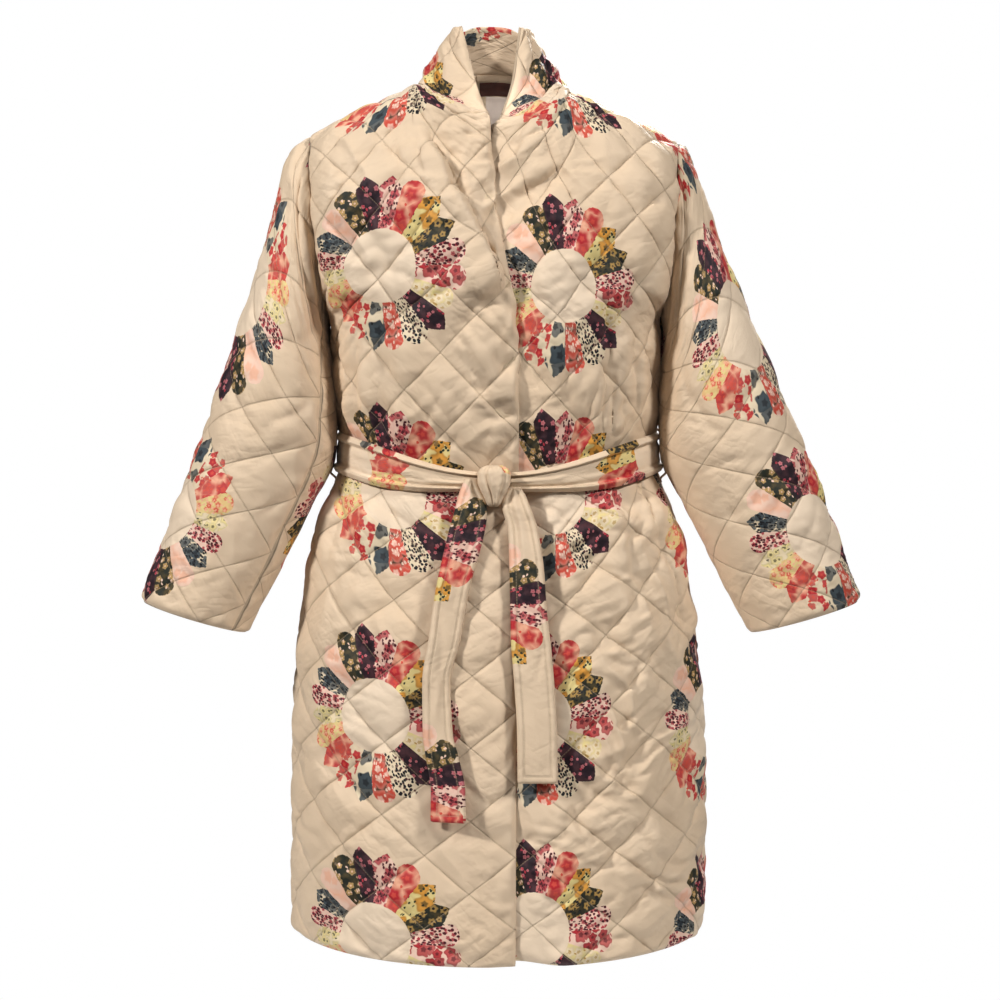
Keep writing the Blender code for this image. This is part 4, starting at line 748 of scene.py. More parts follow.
def row_levels():
    """Each net row's place in grid rows: hem 0, shoulder BODY_ROWS, collar top above."""
    body = row_lengths(BODY_GAUGE, 0, SHOULDER_ROW)
    collar = row_lengths(COLLAR_GAUGE, SHOULDER_ROW, SHOULDER_ROW + len(NECK) - 1)
    above = BODY_ROWS + collar[1:] / collar[-1] * COLLAR_ROWS
    return np.concatenate([body / body[-1] * BODY_ROWS, above])


LEVELS = row_levels()
ROW_LENGTH = row_lengths(BODY_GAUGE, 0, SHOULDER_ROW)[-1] / BODY_ROWS
SIDE_HEIGHTS = np.concatenate(
    [[s.height for s in TORSO], NETS["front"][len(TORSO) : SHOULDER_ROW + 1, -1, 2]]
)
BELT_LEVEL = LEVELS[WAIST]


def level_of(height):
    """The grid row at a height on the side of the coat."""
    return float(np.interp(height, SIDE_HEIGHTS, LEVELS[: SHOULDER_ROW + 1]))


def net_rows(panel, levels):
    """Rows of the coat at these levels, smooth at the front of the neck and cut at its sides."""
    net = NETS[panel]
    whole = spline(LEVELS, net, levels)
    body = spline(LEVELS[: SHOULDER_ROW + 1], net[: SHOULDER_ROW + 1], np.minimum(levels, BODY_ROWS))
    collar = spline(LEVELS[SHOULDER_ROW:], net[SHOULDER_ROW:], np.maximum(levels, BODY_ROWS))
    cut = np.where((levels > BODY_ROWS)[:, None, None], collar, body)
    past = np.abs(NET_SHARES) / NECK_SHARE - NECK_SPLIT
    share = smooth(past / (1 - NECK_SPLIT))[None, :, None]
    return whole * (1 - share) + cut * share


def lean(points):
    """Points of the straight coat, moved to where the leaning coat has them."""
    share = smooth((points[..., 2] - LEAN_FROM) / LEAN_OVER)
    moved = points.copy()
    moved[..., 0] += LEAN_SHIFT * share
    moved[..., 2] -= LEAN_ROLL * points[..., 0] * share
    return moved


def surface(panel, shares, levels):
    """Points of the coat at each share of a half row and level. Both are (rows, columns)."""
    rows = net_rows(panel, levels[:, 0])
    return lean(np.array([at_places(s, NET_SHARES, row) for s, row in zip(shares, rows)]))


def flat_across(panel, shares, levels):
    """How far along its row each point lies from the centre line, towards +X."""
    along = distances(net_rows(panel, levels[:, 0]), axis=1)
    along -= along[:, ROW_SAMPLES - 1 : ROW_SAMPLES]
    return np.array([np.interp(s, NET_SHARES, line) for s, line in zip(shares, along)])


def fold_rise(panel, shares, levels):
    """How far the folds lift the cloth at each point."""
    rise = np.zeros(shares.shape)
    for fold in FOLDS:
        if fold.panel != panel:
            continue
        first, last = level_of(fold.start), level_of(fold.end)
        along = (levels - first) / (last - first)
        middle = fold.start_at + (fold.end_at - fold.start_at) * along
        rise += fold.rise * rise_and_die(along) * bell((shares - middle) * HALF_ROW, fold.width)
    return rise


def window(at, low, high, fade):
    """1 between low and high, fading to 0 outside them."""
    return smooth((at - low) / fade + 0.5) * smooth((high - at) / fade + 0.5)


def blouse_rise(shares, levels):
    """How far the cloth swells at the sides, above the belt."""
    low, high, top = (level_of(z) for z in (BLOUSE_LOW, BLOUSE_HIGH, BLOUSE_HIGH + BLOUSE_FADE))
    beside = smooth((np.abs(shares) - BLOUSE_SHARE) / (1 - BLOUSE_SHARE))
    return BLOUSE * beside * window(levels, low, high, top - high)


def noise(u, v, size, seed):
    """Smooth random heights from -1 to 1, about size apart."""
    table = np.random.default_rng(seed).uniform(-1, 1, (NOISE_CELLS, NOISE_CELLS))
    x, y = u / size, v / size
    i, j = np.floor(x).astype(int), np.floor(y).astype(int)
    fx, fy = smooth(x - i), smooth(y - j)
    i, j = i % NOISE_CELLS, j % NOISE_CELLS
    k, m = (i + 1) % NOISE_CELLS, (j + 1) % NOISE_CELLS
    low = table[i, j] * (1 - fx) + table[k, j] * fx
    high = table[i, m] * (1 - fx) + table[k, m] * fx
    return low * (1 - fy) + high * fy


def beside_line(across, up, start, end):
    """Each place's share of the way along a line on the flat cloth, and its distance beside it."""
    over, climb = end[0] - start[0], end[1] - start[1]
    length = math.hypot(over, climb)
    right, high = across - start[0], up - start[1]
    return (right * over + high * climb) / length**2, (right * climb - high * over) / length


def crease_rise(name, across, up, seed):
    """How far a part's small creases lift its cloth. They wander a little from straight lines."""
    rise = np.zeros(across.shape)
    wander = CREASE_WANDER * noise(across, up, CREASE_WANDER_SIZE, seed)
    for crease in CREASES[name]:
        along, beside = beside_line(across, up, crease[:2], crease[2:4])
        beside = beside + wander
        width = np.where(beside > 0, crease.width, crease.other or crease.width)
        rise += crease.rise * rise_and_die(along) * bell(beside, width)
    return rise


def roll_lapel(cloth):
    """Folds the right front along the lapel's roll and pushes the crest over to the right."""
    along, left = beside_line(cloth.across, cloth.up, ROLL_FROM, ROLL_TO)
    right = CREASE_WANDER * noise(cloth.across, cloth.up, CREASE_WANDER_SIZE, LAPEL_SEED) - left
    strength = smooth(along / ROLL_START) * smooth((1 - along) / ROLL_END)
    past = smooth(right / ROLL_STEEP + 0.5)
    crest = ROLL_RISE * bell(np.minimum(right, 0), ROLL_LEFT)
    trough = ROLL_DROP * bell(np.maximum(right, 0), ROLL_RIGHT)
    push = ROLL_OVER * strength * bell(right, ROLL_OVER_WIDE)
    cloth.lift(strength * (crest * (1 - past) - trough * past))
    over, climb = ROLL_TO[0] - ROLL_FROM[0], ROLL_TO[1] - ROLL_FROM[1]
    length = math.hypot(over, climb)
    cloth.points[..., 0] += push * -climb / length
    cloth.points[..., 2] += push * over / length


def edge_shares(which, levels):
    """Where a front's edge stands on each row, as a share of a half row."""
    knots = [level_of(edge.height) for edge in EDGES]
    knots += [BODY_ROWS + COLLAR_ROWS * edge.share for edge in COLLAR_EDGES]
    across = spline(knots, [getattr(edge, which) for edge in EDGES + COLLAR_EDGES], levels)
    rows = lean(net_rows("front", levels))
    inside = np.abs(NET_SHARES) <= NECK_SHARE
    return np.array(
        [np.interp(x, row[inside, 0], NET_SHARES[inside]) for x, row in zip(across, rows)]
    )


def stepped(first, knee, last, low_columns, high_columns):
    """Shares along a row in two even runs that meet at the neck point."""
    low = first + (knee - first) * np.linspace(0, 1, low_columns + 1)
    high = knee + (last - knee) * np.linspace(0, 1, high_columns + 1)
    return np.concatenate([low, high[1:]])


def belt_press(away):
    """1 on most of the coat, and little where the belt squeezes the wadding at its middle."""
    return 1 - BELT_SQUEEZE * bell(away, BELT_REACH)


def crumples(across, up, seed):
    """Soft bumps of quilted cotton with narrow creases between them, as heights in metres."""
    u = across + CRUMPLE_WARP * noise(across, up, CRUMPLE_WARP_SIZE, seed)
    v = up + CRUMPLE_WARP * noise(across, up, CRUMPLE_WARP_SIZE, seed + 1)
    height = np.zeros(across.shape)
    for k, layer in enumerate(CRUMPLES):
        along = u * math.cos(layer.turn) + v * math.sin(layer.turn)
        beside = v * math.cos(layer.turn) - u * math.sin(layer.turn)
        bumps = np.abs(noise(along / layer.stretch, beside, layer.size, seed + 2 + k))
        if layer.ridged:
            bumps = (1 - bumps) ** RIDGE_POWER - RIDGE_MEAN
        else:
            bumps = bumps**CRUMPLE_POWER - CRUMPLE_MEAN
        here = smooth(CRUMPLED + CRUMPLED_STEEP * noise(across, up, layer.patch, seed + 8 + k))
        height += layer.height * here * bumps
    return height


class Cloth:
    """A net of cloth: its points, its places among the rows and columns of sewing and on the flat
    cut, and how far its outside stands out. Its rise is given unless it is quilted."""

    def __init__(self, points, rows, columns, across, up, rise=None, mask=None, closed=False):
        self.points, self.rows, self.columns = points, rows, columns
        self.across, self.up, self.rise, self.closed = across, up, rise, closed
        self.mask = np.ones((points.shape[0] - 1, points.shape[1] - 1), bool) if mask is None else mask
        self.edge = np.full(points.shape[:2], np.inf)
        self.side = np.ones(points.shape[:2])
        self.sewn = np.zeros(points.shape[:2], bool)
        self.quilted = rise is None
        self.flat_area = self.area()

    def cells(self):
        """Each cell's normal, as long as twice its area."""
        p = self.points
        return np.cross(p[1:, 1:] - p[:-1, :-1], p[1:, :-1] - p[:-1, 1:]) * self.mask[..., None]

    def normals(self):
        """Unit normals, averaged from the cells that exist."""
        cell = self.cells()
        total = np.zeros_like(self.points)
        for rows in (slice(None, -1), slice(1, None)):
            for columns in (slice(None, -1), slice(1, None)):
                total[rows, columns] += cell
        return self.unit(total)

    def unit(self, vectors):
        """Vectors at the points made one long, after the two ends of a closed net are joined."""
        if self.closed:
            vectors[:, 0] += vectors[:, -1]
            vectors[:, -1] = vectors[:, 0]
        return vectors / np.maximum(np.linalg.norm(vectors, axis=-1, keepdims=True), TINY)

    def lift(self, rise):
        """Moves the points out along their normals."""
        self.points = self.points + self.normals() * rise[..., None]

    def area(self):
        """Area of the cells that exist."""
        return float(np.linalg.norm(self.cells(), axis=-1).sum() / 2)

    def near_edge(self, distance):
        """Takes in the distance from one more edge or seam."""
        self.edge = np.minimum(self.edge, distance)

    def edge_round(self):
        """0 at the edges, rising like a quarter of a circle to 1 inside them."""
        inward = 1 - np.clip(self.edge / EDGE_ROUND, 0, 1)
        return np.sqrt(1 - inward * inward)


def quilting(cloth, seed):
    """Height of the wadding between the lines of stitching, and of the puckers beside them."""
    rising = (cloth.columns - cloth.rows) / DIAMOND_CELLS
    falling = (cloth.columns + cloth.rows) / DIAMOND_CELLS
    puff = np.abs(np.sin(math.pi * rising) * np.sin(math.pi * falling)) ** PUFF_POWER
    uneven = 1 + UNEVEN_LOFT * noise(cloth.across, cloth.up, UNEVEN_SIZE, seed)
    pucker = np.zeros(puff.shape)
    for line, along in ((rising, falling), (falling, rising)):
        number = np.round(line)
        away = np.abs(line - number) * LINE_SPACING
        run = along * LINE_RUN + number * PUCKER_ALONG
        beside = away * PUCKER_STRETCH + number * PUCKER_BESIDE
        drawn = np.exp(-away / PUCKER_REACH) * (1 - np.exp(-away / STITCH_PINCH))
        pucker += drawn * noise(run, beside, PUCKER_SIZE, seed + 3)
    return PUFF * puff * uneven, PUCKER * pucker


def padded_rise(cloth, press, low, high, seed):
    """How far the outside of a quilted piece stands out from its plain form."""
    puff, pucker = quilting(cloth, seed)
    puff = puff * (1 - FLATTER_SIDE * bell(cloth.side, FLATTER_SIDE_WIDE))
    if not cloth.closed:
        puff = puff * (1 + FULLER * press * smooth((np.abs(cloth.across) - FULLER_FROM) / FULLER_OVER))
    calm = low + (high - low) * smooth((cloth.up - CALM_FROM) / CALM_OVER)
    calm = calm * (1 - CALM_SIDE * bell(cloth.side, CALM_SIDE_WIDE))
    neat = 1 - NEAT_COLLAR * smooth((cloth.up - NEAT_FROM) / NEAT_OVER)
    crumple = calm * neat * crumples(cloth.across, cloth.up, seed + 5)
    wrinkles = (pucker + crumple) * (PRESSED_WRINKLES + (1 - PRESSED_WRINKLES) * press)
    seam = np.exp(-cloth.edge / SEAM_PUCKER_REACH) * SEAM_PUCKER
    seam = seam * noise(cloth.across, cloth.up, SEAM_PUCKER_SIZE, seed + 9) * neat
    groove = SEAM_GROOVE * bell(cloth.edge, SEAM_GROOVE_WIDE)
    return (puff * press + wrinkles + seam) * cloth.edge_round() - groove


def front_cloth(side):
    """One front with its half of the standing collar. side is -1 for the wearer's right."""
    right = side < 0
    rows = BODY_ROWS + COLLAR_ROWS
    neck_columns = RIGHT_NECK_COLUMNS if right else LEFT_NECK_COLUMNS
    columns = neck_columns + SHOULDER_COLUMNS
    level = np.linspace(0, rows, rows * FINE + 1)
    levels, column = grid(level, np.linspace(0, columns, columns * FINE + 1))
    edge = edge_shares("right" if right else "left", level)
    low, high = SHOULDER_COLUMNS * FINE, neck_columns * FINE
    if right:
        shares = np.array([stepped(-1, -NECK_SHARE, e, low, high) for e in edge])
    else:
        shares = np.array([stepped(e, NECK_SHARE, 1, high, low) for e in edge])
    mask = np.ones((rows * FINE, columns * FINE), bool)
    mask[BODY_ROWS * FINE :, slice(0, low) if right else slice(high, None)] = False
    across, up = flat_across("front", shares, levels), levels * ROW_LENGTH
    cloth = Cloth(surface("front", shares, levels), levels, column, across, up, mask=mask)
    cloth.lift(fold_rise("front", shares, levels) + blouse_rise(shares, levels))
    cloth.lift(crease_rise("front", across, up, FRONT_SEED))
    press = belt_press((levels - BELT_LEVEL) * ROW_LENGTH)
    if right:
        low_end, high_end = level_of(EDGE_PRESS_LOW), level_of(EDGE_PRESS_HIGH)
        down = 1 - smooth((levels - low_end) / (high_end - low_end))
        down = down * (1 - smooth((across[:, -1:] - across) / EDGE_PRESS_REACH))
        cloth.lift(-EDGE_PRESS * down)
        roll_lapel(cloth)
    else:
        ease = UNDERLAP_EASE / HALF_ROW
        over = edge_shares("right", level)[:, None]
        under = smooth((over + ease - shares) / ease)
        cloth.lift(-UNDERLAP_DEPTH * under)
        cloth.points[..., 2] += UNDERLAP_LIFT * under * (1 - smooth(up / UNDERLAP_LIFT_REACH))
        press = press * (1 - (1 - UNDERLAP_PUFF) * under)
    into_neck = column - SHOULDER_COLUMNS if right else neck_columns - column
    span = np.linalg.norm(np.diff(cloth.points, axis=1), axis=2).mean() * FINE
    below = np.maximum(BODY_ROWS - levels, 0) * ROW_LENGTH
    cloth.near_edge(np.hypot(np.maximum(into_neck, 0) * span, below))
    side_column, edge_column = (0, -1) if right else (-1, 0)
    cloth.side = np.abs(across - across[:, [side_column]])
    cloth.near_edge(cloth.side)
    cloth.near_edge(np.abs(across - across[:, [edge_column]]))
    cloth.near_edge(np.minimum(up, rows * ROW_LENGTH - up))
    cloth.sewn[: BODY_ROWS * FINE + 1, side_column] = True
    cloth.sewn[BODY_ROWS * FINE, into_neck[0] <= 0] = True
    cloth.sewn[BODY_ROWS * FINE :, np.argmin(np.abs(into_neck[0]))] = True
    return cloth, press


def cloth_behind(level, row, columns):
    """A piece behind, sewn at both sides: its cloth, the shares of its rows and its sides' distance."""
    levels, shares = grid(level, row)
    column = grid(level, np.linspace(0, columns, len(row)))[1]
    across, up = -flat_across("back", shares, levels), levels * ROW_LENGTH
    cloth = Cloth(surface("back", shares, levels), levels, column, across, up)
    beside = np.minimum(np.abs(across - across[:, [0]]), np.abs(across - across[:, [-1]]))
    cloth.sewn[:, [0, -1]] = True
    cloth.near_edge(beside)
    cloth.near_edge(np.minimum(up - up[0, 0], up[-1, 0] - up))
    return cloth, shares, beside


def back_cloth():
    """The back, from hem to shoulder seams and neck."""
    shoulder, neck = SHOULDER_COLUMNS * BACK_FINE, BACK_NECK_COLUMNS * BACK_FINE
    row = stepped(-1, -NECK_SHARE, NECK_SHARE, shoulder, neck)
    row = np.concatenate([row, np.linspace(NECK_SHARE, 1, shoulder + 1)[1:]])[::-1]
    level = np.linspace(0, BODY_ROWS, BODY_ROWS * FINE + 1)
    cloth, shares, cloth_side = cloth_behind(level, row, 2 * SHOULDER_COLUMNS + BACK_NECK_COLUMNS)
    cloth.lift(fold_rise("back", shares, cloth.rows) + blouse_rise(shares, cloth.rows))
    cloth.lift(crease_rise("back", cloth.across, cloth.up, BACK_SEED))
    cloth.side = cloth_side
    cloth.sewn[-1] = True
    return cloth, belt_press((cloth.rows - BELT_LEVEL) * ROW_LENGTH)


def collar_cloth():
    """The collar's stretch behind the neck, from one shoulder seam to the other."""
    level = np.linspace(BODY_ROWS, BODY_ROWS + COLLAR_ROWS, COLLAR_ROWS * FINE + 1)
    row = np.linspace(NECK_SHARE, -NECK_SHARE, BACK_NECK_COLUMNS * FINE + 1)
    cloth, shares, _ = cloth_behind(level, row, BACK_NECK_COLUMNS)
    cloth.sewn[0] = True
    return cloth, np.ones(shares.shape)


def armhole_loop(side, turns):
    """Points round an armhole: turn 0 is under the arm, a quarter turn is at the front."""
    levels = np.linspace(LEVELS[UNDERARM], BODY_ROWS, SEAM_SAMPLES)[:, None]
    ends = {}
    for panel in ("front", "back"):
        line = surface(panel, np.full(levels.shape, float(side)), levels)[:, 0]
        ends[panel] = evenly(line, SEAM_SAMPLES)
    loop = np.concatenate([ends["front"], ends["back"][-2::-1]])
    at = np.mod(turns, 2 * math.pi) / (2 * math.pi) * (len(loop) - 1)
    return at_places(at, np.arange(len(loop)), loop)


def turn_from(turns, start):
    """Angles from one direction, between minus and plus half a turn."""
    return np.mod(turns - start + math.pi, 2 * math.pi) - math.pi


def sleeve_cloth(side):
    """A sleeve from cuff to armhole, with its seam at column 0."""
    columns, rows = SLEEVE_COLUMNS * FINE, SLEEVE_ROWS * FINE
    turns = np.linspace(0, 2 * math.pi, columns + 1) + SEAM_TURN[side]
    rings = [armhole_loop(side, turns)]
    for cuff in SLEEVE:
        reach_out = cuff.outer_right if side < 0 else cuff.outer_left
        outer = np.array([side * reach_out, cuff.middle, cuff.outer_z])
        inner = np.array([side * cuff.inner_x, cuff.middle, cuff.inner_z])
        reach = np.cos(turns)[:, None]
        ahead = np.array([0.0, -cuff.depth, 0.0]) * np.sin(turns)[:, None]
        rings.append(lean((outer + inner) / 2 + (inner - outer) / 2 * reach + ahead))
    rings = np.array(rings)[::-1]
    knots = distances(rings[:, :-1].mean(axis=1))
    height = np.linspace(0, knots[-1], rows + 1)
    points = spline(knots, rings, height)
    along = distances(points, axis=1)
    front = np.argmin(np.abs(turns - math.pi / 2))
    across = (along - along[:, [front]]) * side
    seam = np.minimum(along, along[:, -1:] - along)
    if side < 0:
        points, across, seam, turns = points[:, ::-1], across[:, ::-1], seam[:, ::-1], turns[::-1]
    levels, column = grid(np.linspace(0, SLEEVE_ROWS, rows + 1), np.linspace(0, SLEEVE_COLUMNS, columns + 1))
    up, turn = grid(height, turns)
    cloth = Cloth(points, levels, column, across, up, closed=True)
    full = bell(turn_from(turn, INNER_TURN), INNER_WIDE) * window(up, INNER_LOW, INNER_HIGH, INNER_FADE)
    cloth.lift(INNER_FULL * full)
    cloth.lift(crease_rise("sleeve_right" if side < 0 else "sleeve_left", across, up, SLEEVE_SEED))
    cloth.near_edge(np.minimum(up, height[-1] - up))
    cloth.near_edge(seam)
    cloth.sewn[-1] = True
    return cloth, SLEEVE_PUFF * (1 - BODY_PRESS * bell(turn_from(turn, 0.0), BODY_PRESS_WIDE))


def belt_cloth(panel, first, last):
    """A stretch of the belt, laid on the cloth that it squeezes and moved out from it."""
    in_front = panel == "front"
    columns = round(abs(last - first) * HALF_ROW / BELT_CELL)
    place, shares = grid(np.linspace(-0.5, 0.5, BELT_CELLS + 1), np.linspace(first, last, columns + 1))
    far = smooth((np.abs(shares) - BELT_KNOT_SHARE) / BELT_WIDENS_OVER) if in_front else 1.0
    width = BELT_WIDTH_AT_KNOT + (BELT_WIDTH - BELT_WIDTH_AT_KNOT) * far
    levels = BELT_LEVEL + place * width / ROW_LENGTH
    points = np.empty(shares.shape + (3,))
    for column in range(columns + 1):
        points[:, [column]] = surface(panel, shares[:, [column]], levels[:, [column]])
    across = flat_across(panel, shares, np.full(shares.shape, BELT_LEVEL)) * (1 if in_front else -1)
    up = place * BELT_WIDTH
    rolls = spline(np.linspace(-0.5, 0.5, len(BELT_ROLLS)), BELT_ROLLS, place[:, 0])[:, None]
    drawn = noise(across, up * BELT_CREASE_LONG / BELT_CREASE_WIDE, BELT_CREASE_LONG, BELT_SEED)
    gather = 1 + BELT_GATHER * bell(across, BELT_GATHER_REACH) * in_front
    rise = rolls + BELT_CREASE * gather * drawn * np.cos(math.pi * place)
    cloth = Cloth(points, (0.5 - np.abs(place)) * width, across, across, up, rise)
    cloth.lift(fold_rise(panel, shares, levels) + BELT_CLEARANCE + BELT_WALL)
    cloth.flat_area = cloth.area()
    return cloth


def front_skin():
    """The plain outside of the front below the chest, as a grid of points."""
    row = np.linspace(-SKIN_SHARE, SKIN_SHARE, SKIN_COLUMNS)
    levels, shares = grid(np.linspace(0, LEVELS[UNDERARM], SKIN_ROWS), row)
    return surface("front", shares, levels)


FRONT_SKIN = front_skin()


def front_depth(x, z):
    """y of the front's plain outside at a place seen from the front."""
    depths = [np.interp(x, row[:, 0], row[:, 1]) for row in FRONT_SKIN]
    heights = [np.interp(x, row[:, 0], row[:, 2]) for row in FRONT_SKIN]
    return float(np.interp(z, heights, depths))


def table_columns(table, knots, at):
    """Each column of a table, smoothly filled in between its rows."""
    fields = table[0]._fields
    return {key: spline(knots, [getattr(row, key) for row in table], at) for key in fields}


def tail_cloth(table, which):
    """A hanging end of the belt: a padded strip in front of the skirt."""
    table = table[::-1]
    heights = [row.height for row in table]
    rows = round((heights[-1] - heights[0]) / TAIL_CELL)
    at = np.linspace(heights[0], heights[-1], rows + 1)
    columns = table_columns(table, heights, at)
    place = np.linspace(-0.5, 0.5, TAIL_CELLS + 1)
    points = np.empty((rows + 1, TAIL_CELLS + 1, 3))
    for r, z in enumerate(at):
        x = columns["middle"][r] + place * columns["width"][r]
        skirt = min(front_depth(float(v), float(z)) for v in x[:: TAIL_CELLS // 4])
        tilt = place * columns["width"][r] * columns["twist"][r]
        y = skirt - LOFT - columns["off"][r] + tilt
        points[r] = np.stack([x, y, np.full(len(x), z)], axis=1)
    up, place = grid(at, place)
    width = columns["width"][:, None]
    across = place * width
    edge = width / 2 - np.abs(across)
    rise = TAIL_CROWN * np.sin(math.pi * (place + 0.5))
    rise += TAIL_EDGE_RISE * bell(edge - TAIL_EDGE / 2, TAIL_EDGE / 2)
    rise += TAIL_WAVE * noise(across, up, TAIL_WAVE_SIZE, TAIL_SEED)
    for fold in TAIL_FOLDS[which]:
        along = (up - fold.top) / (fold.bottom - fold.top)
        middle = (fold.top_at + (fold.bottom_at - fold.top_at) * along) * width
        strength = rise_and_die(TAIL_FOLD_START + (1 - TAIL_FOLD_START) * along)
        strength = strength * (along > -TAIL_FOLD_START)
        rise += fold.rise * strength * bell(across - middle, fold.width)
    return Cloth(points, np.minimum(edge, up - at[0]), up, across, up, rise)


def loop_cloth(side):
    """A narrow strip sewn at the side seam, over the belt."""
    place, beside = grid(np.linspace(-1, 1, LOOP_ROWS + 1), np.linspace(-0.5, 0.5, LOOP_COLUMNS + 1))
    levels = BELT_LEVEL + place * LOOP_REACH / ROW_LENGTH
    points = surface("front", np.full(levels.shape, float(side)), levels)
    over = LOOP_OVER_BELT * smooth(LOOP_STEEPNESS * (1 - np.abs(place)) - LOOP_FLAT_END)
    points[..., 0] += side * (over + LOOP_WALL)
    points[..., 1] += side * LOOP_WIDTH * beside
    across, up = LOOP_WIDTH * beside, place * LOOP_REACH
    rise = LOOP_CROWN * np.cos(math.pi * beside) ** LOOP_CROWN_POWER
    return Cloth(points, LOOP_WIDTH / 2 - np.abs(across), up, across, up, rise)


def trim_cloth(trim):
    """A flat strip on the inside of the back, below the collar."""
    levels = np.linspace(BODY_ROWS - TRIM_REACH, BODY_ROWS, SEAM_SAMPLES)[:, None]
    line = surface("back", np.zeros(levels.shape), levels)[:, 0]
    shares = np.linspace(-NECK_SHARE, NECK_SHARE, SKIN_COLUMNS)[None]
    beside = np.linspace(-0.5, 0.5, TRIM_COLUMNS + 1) * trim.width
    points = np.empty((TRIM_ROWS + 1, TRIM_COLUMNS + 1, 3))
    for r, z in enumerate(np.linspace(trim.top - trim.height, trim.top, TRIM_ROWS + 1)):
        level = np.interp(z, line[:, 2], levels[:, 0])
        row = surface("back", shares, np.full(shares.shape, level))[0]
        points[r] = at_places(beside + NECK[0].shift, row[:, 0], row)
    up, across = grid(distances(points[:, TRIM_COLUMNS // 2]), beside)
    rise = TRIM_WAVE * noise(across, up, TRIM_WAVE_SIZE, TRIM_SEED)
    edge = np.minimum(trim.width / 2 - np.abs(across), np.minimum(up - up[0, 0], up[-1, 0] - up))
    cloth = Cloth(points, edge, across, across, up, rise)
    cloth.lift(np.full(up.shape, WALL + TRIM_OFF + TRIM_WALL + trim.off))
    return cloth


def on_stitching(line):
    """Whether a count of cells across or along the diamonds is on a line of stitching."""
    return np.isclose(np.mod(line + LINE_SHIFT, DIAMOND_CELLS), 0, atol=LINE_NEAR)


def outside_corners(cloth):
    """Two triangles for each cell, split along the line of stitching that crosses it."""
    r, c = np.nonzero(cloth.mask)
    rising = falling = np.zeros(len(r), bool)
    if cloth.quilted:
        rising = on_stitching(cloth.columns[r, c] - cloth.rows[r, c])
        falling = on_stitching(cloth.columns[r, c + 1] + cloth.rows[r, c])
    rise = cloth.rise
    taller = rise[r, c] + rise[r + 1, c + 1] > rise[r, c + 1] + rise[r + 1, c]
    rising = np.where(falling, False, rising | taller)[:, None]
    low_left, low_right = np.stack([r, c], 1), np.stack([r, c + 1], 1)
    high_left, high_right = np.stack([r + 1, c], 1), np.stack([r + 1, c + 1], 1)
    first = np.stack([low_left, low_right, np.where(rising, high_right, high_left)], 1)
    second = np.stack([np.where(rising, low_left, low_right), high_right, high_left], 1)
    return np.concatenate([first, second])


def inside_polygons(cloth, step):
    """The plain inside in larger cells, with every point of the rim in those beside it."""
    rows, columns = cloth.mask.shape

    def filled(r, c):
        c = c % columns if cloth.closed else c
        return 0 <= r < rows and 0 <= c < columns and cloth.mask[r, c]

    polygons = []
    for r in range(0, rows, step):
        for c in range(0, columns, step):
            if not cloth.mask[r, c]:
                continue
            top, right = min(r + step, rows), min(c + step, columns)
            left_side = range(r, top) if not filled(r, c - 1) else (r,)
            top_side = range(c, right) if not filled(top, c) else (c,)
            right_side = range(top, r, -1) if not filled(r, right) else (top,)
            low_side = range(right, c, -1) if not filled(r - 1, c) else (right,)
            ring = [(i, c) for i in left_side] + [(top, j) for j in top_side]
            ring += [(i, right) for i in right_side] + [(r, j) for j in low_side]
            polygons.append(ring)
    return polygons


def rim_edges(cloth):
    """Edges of the cells that exist, each with the cloth on its left: (edges, ends, row and column)."""
    mask = cloth.mask
    padded = np.pad(mask, 1)
    if cloth.closed:
        padded[1:-1, 0], padded[1:-1, -1] = mask[:, -1], mask[:, 0]
    sides = (
        (padded[:-2, 1:-1], (0, 0), (0, 1)),
        (padded[2:, 1:-1], (1, 1), (1, 0)),
        (padded[1:-1, :-2], (1, 0), (0, 0)),
        (padded[1:-1, 2:], (0, 1), (1, 1)),
    )
    edges = []
    for beyond, start, end in sides:
        cell = np.argwhere(mask & ~beyond)
        edges.append(np.stack([cell + start, cell + end], axis=1))
    return np.concatenate(edges)


def nearest_ring(flat, sizes, node):
    """Each corner's place from the middle of the print ring that is nearest to its face."""
    middle = np.add.reduceat(flat, np.cumsum(sizes) - sizes, axis=0) / sizes[:, None]
    rings = np.array(RINGS.get(node, FAR_RING))
    away = np.linalg.norm(middle[:, None] - rings[None], axis=2)
    dx, dy = (flat - np.repeat(rings[np.argmin(away, axis=1)], sizes, axis=0)).T
    turn = PRINT_TURN.get(node, 0.0)
    x = dx * math.cos(turn) - dy * math.sin(turn)
    squeeze = RING_SQUEEZE.get(node, RING_SQUEEZE_PLAIN)
    return np.stack([squeeze * x, dx * math.sin(turn) + dy * math.cos(turn)], 1)


def put(name, data):
    """A new object in the scene."""
    made = bpy.data.objects.new(name, data)
    bpy.context.scene.collection.objects.link(made)
    return made


def add_piece(node, points, corners, sizes, slots, flat, sewing, materials):
    """A smooth piece for a node, from its points, its faces' corners and sizes, and its maps."""
    mesh = bpy.data.meshes.new(node + "_cloth")
    mesh.vertices.add(len(points))
    mesh.vertices.foreach_set("co", points.astype(np.float32).ravel())
    mesh.loops.add(len(corners))
    mesh.loops.foreach_set("vertex_index", corners.astype(np.int32))
    mesh.polygons.add(len(sizes))
    mesh.polygons.foreach_set("loop_start", (np.cumsum(sizes) - sizes).astype(np.int32))
    mesh.polygons.foreach_set("material_index", slots.astype(np.int32))
    mesh.update(calc_edges=True)
    mesh.shade_smooth()
    maps = {"Flat": flat, "Ring": nearest_ring(flat, sizes, node), "Sewing": sewing}
    for name, pairs in maps.items():
        layer = mesh.uv_layers.new(name=name)
        layer.uv.foreach_set("vector", np.ascontiguousarray(pairs, np.float32).ravel())
    for material in materials:
        mesh.materials.append(material)
    return put(node + "_cloth", mesh)


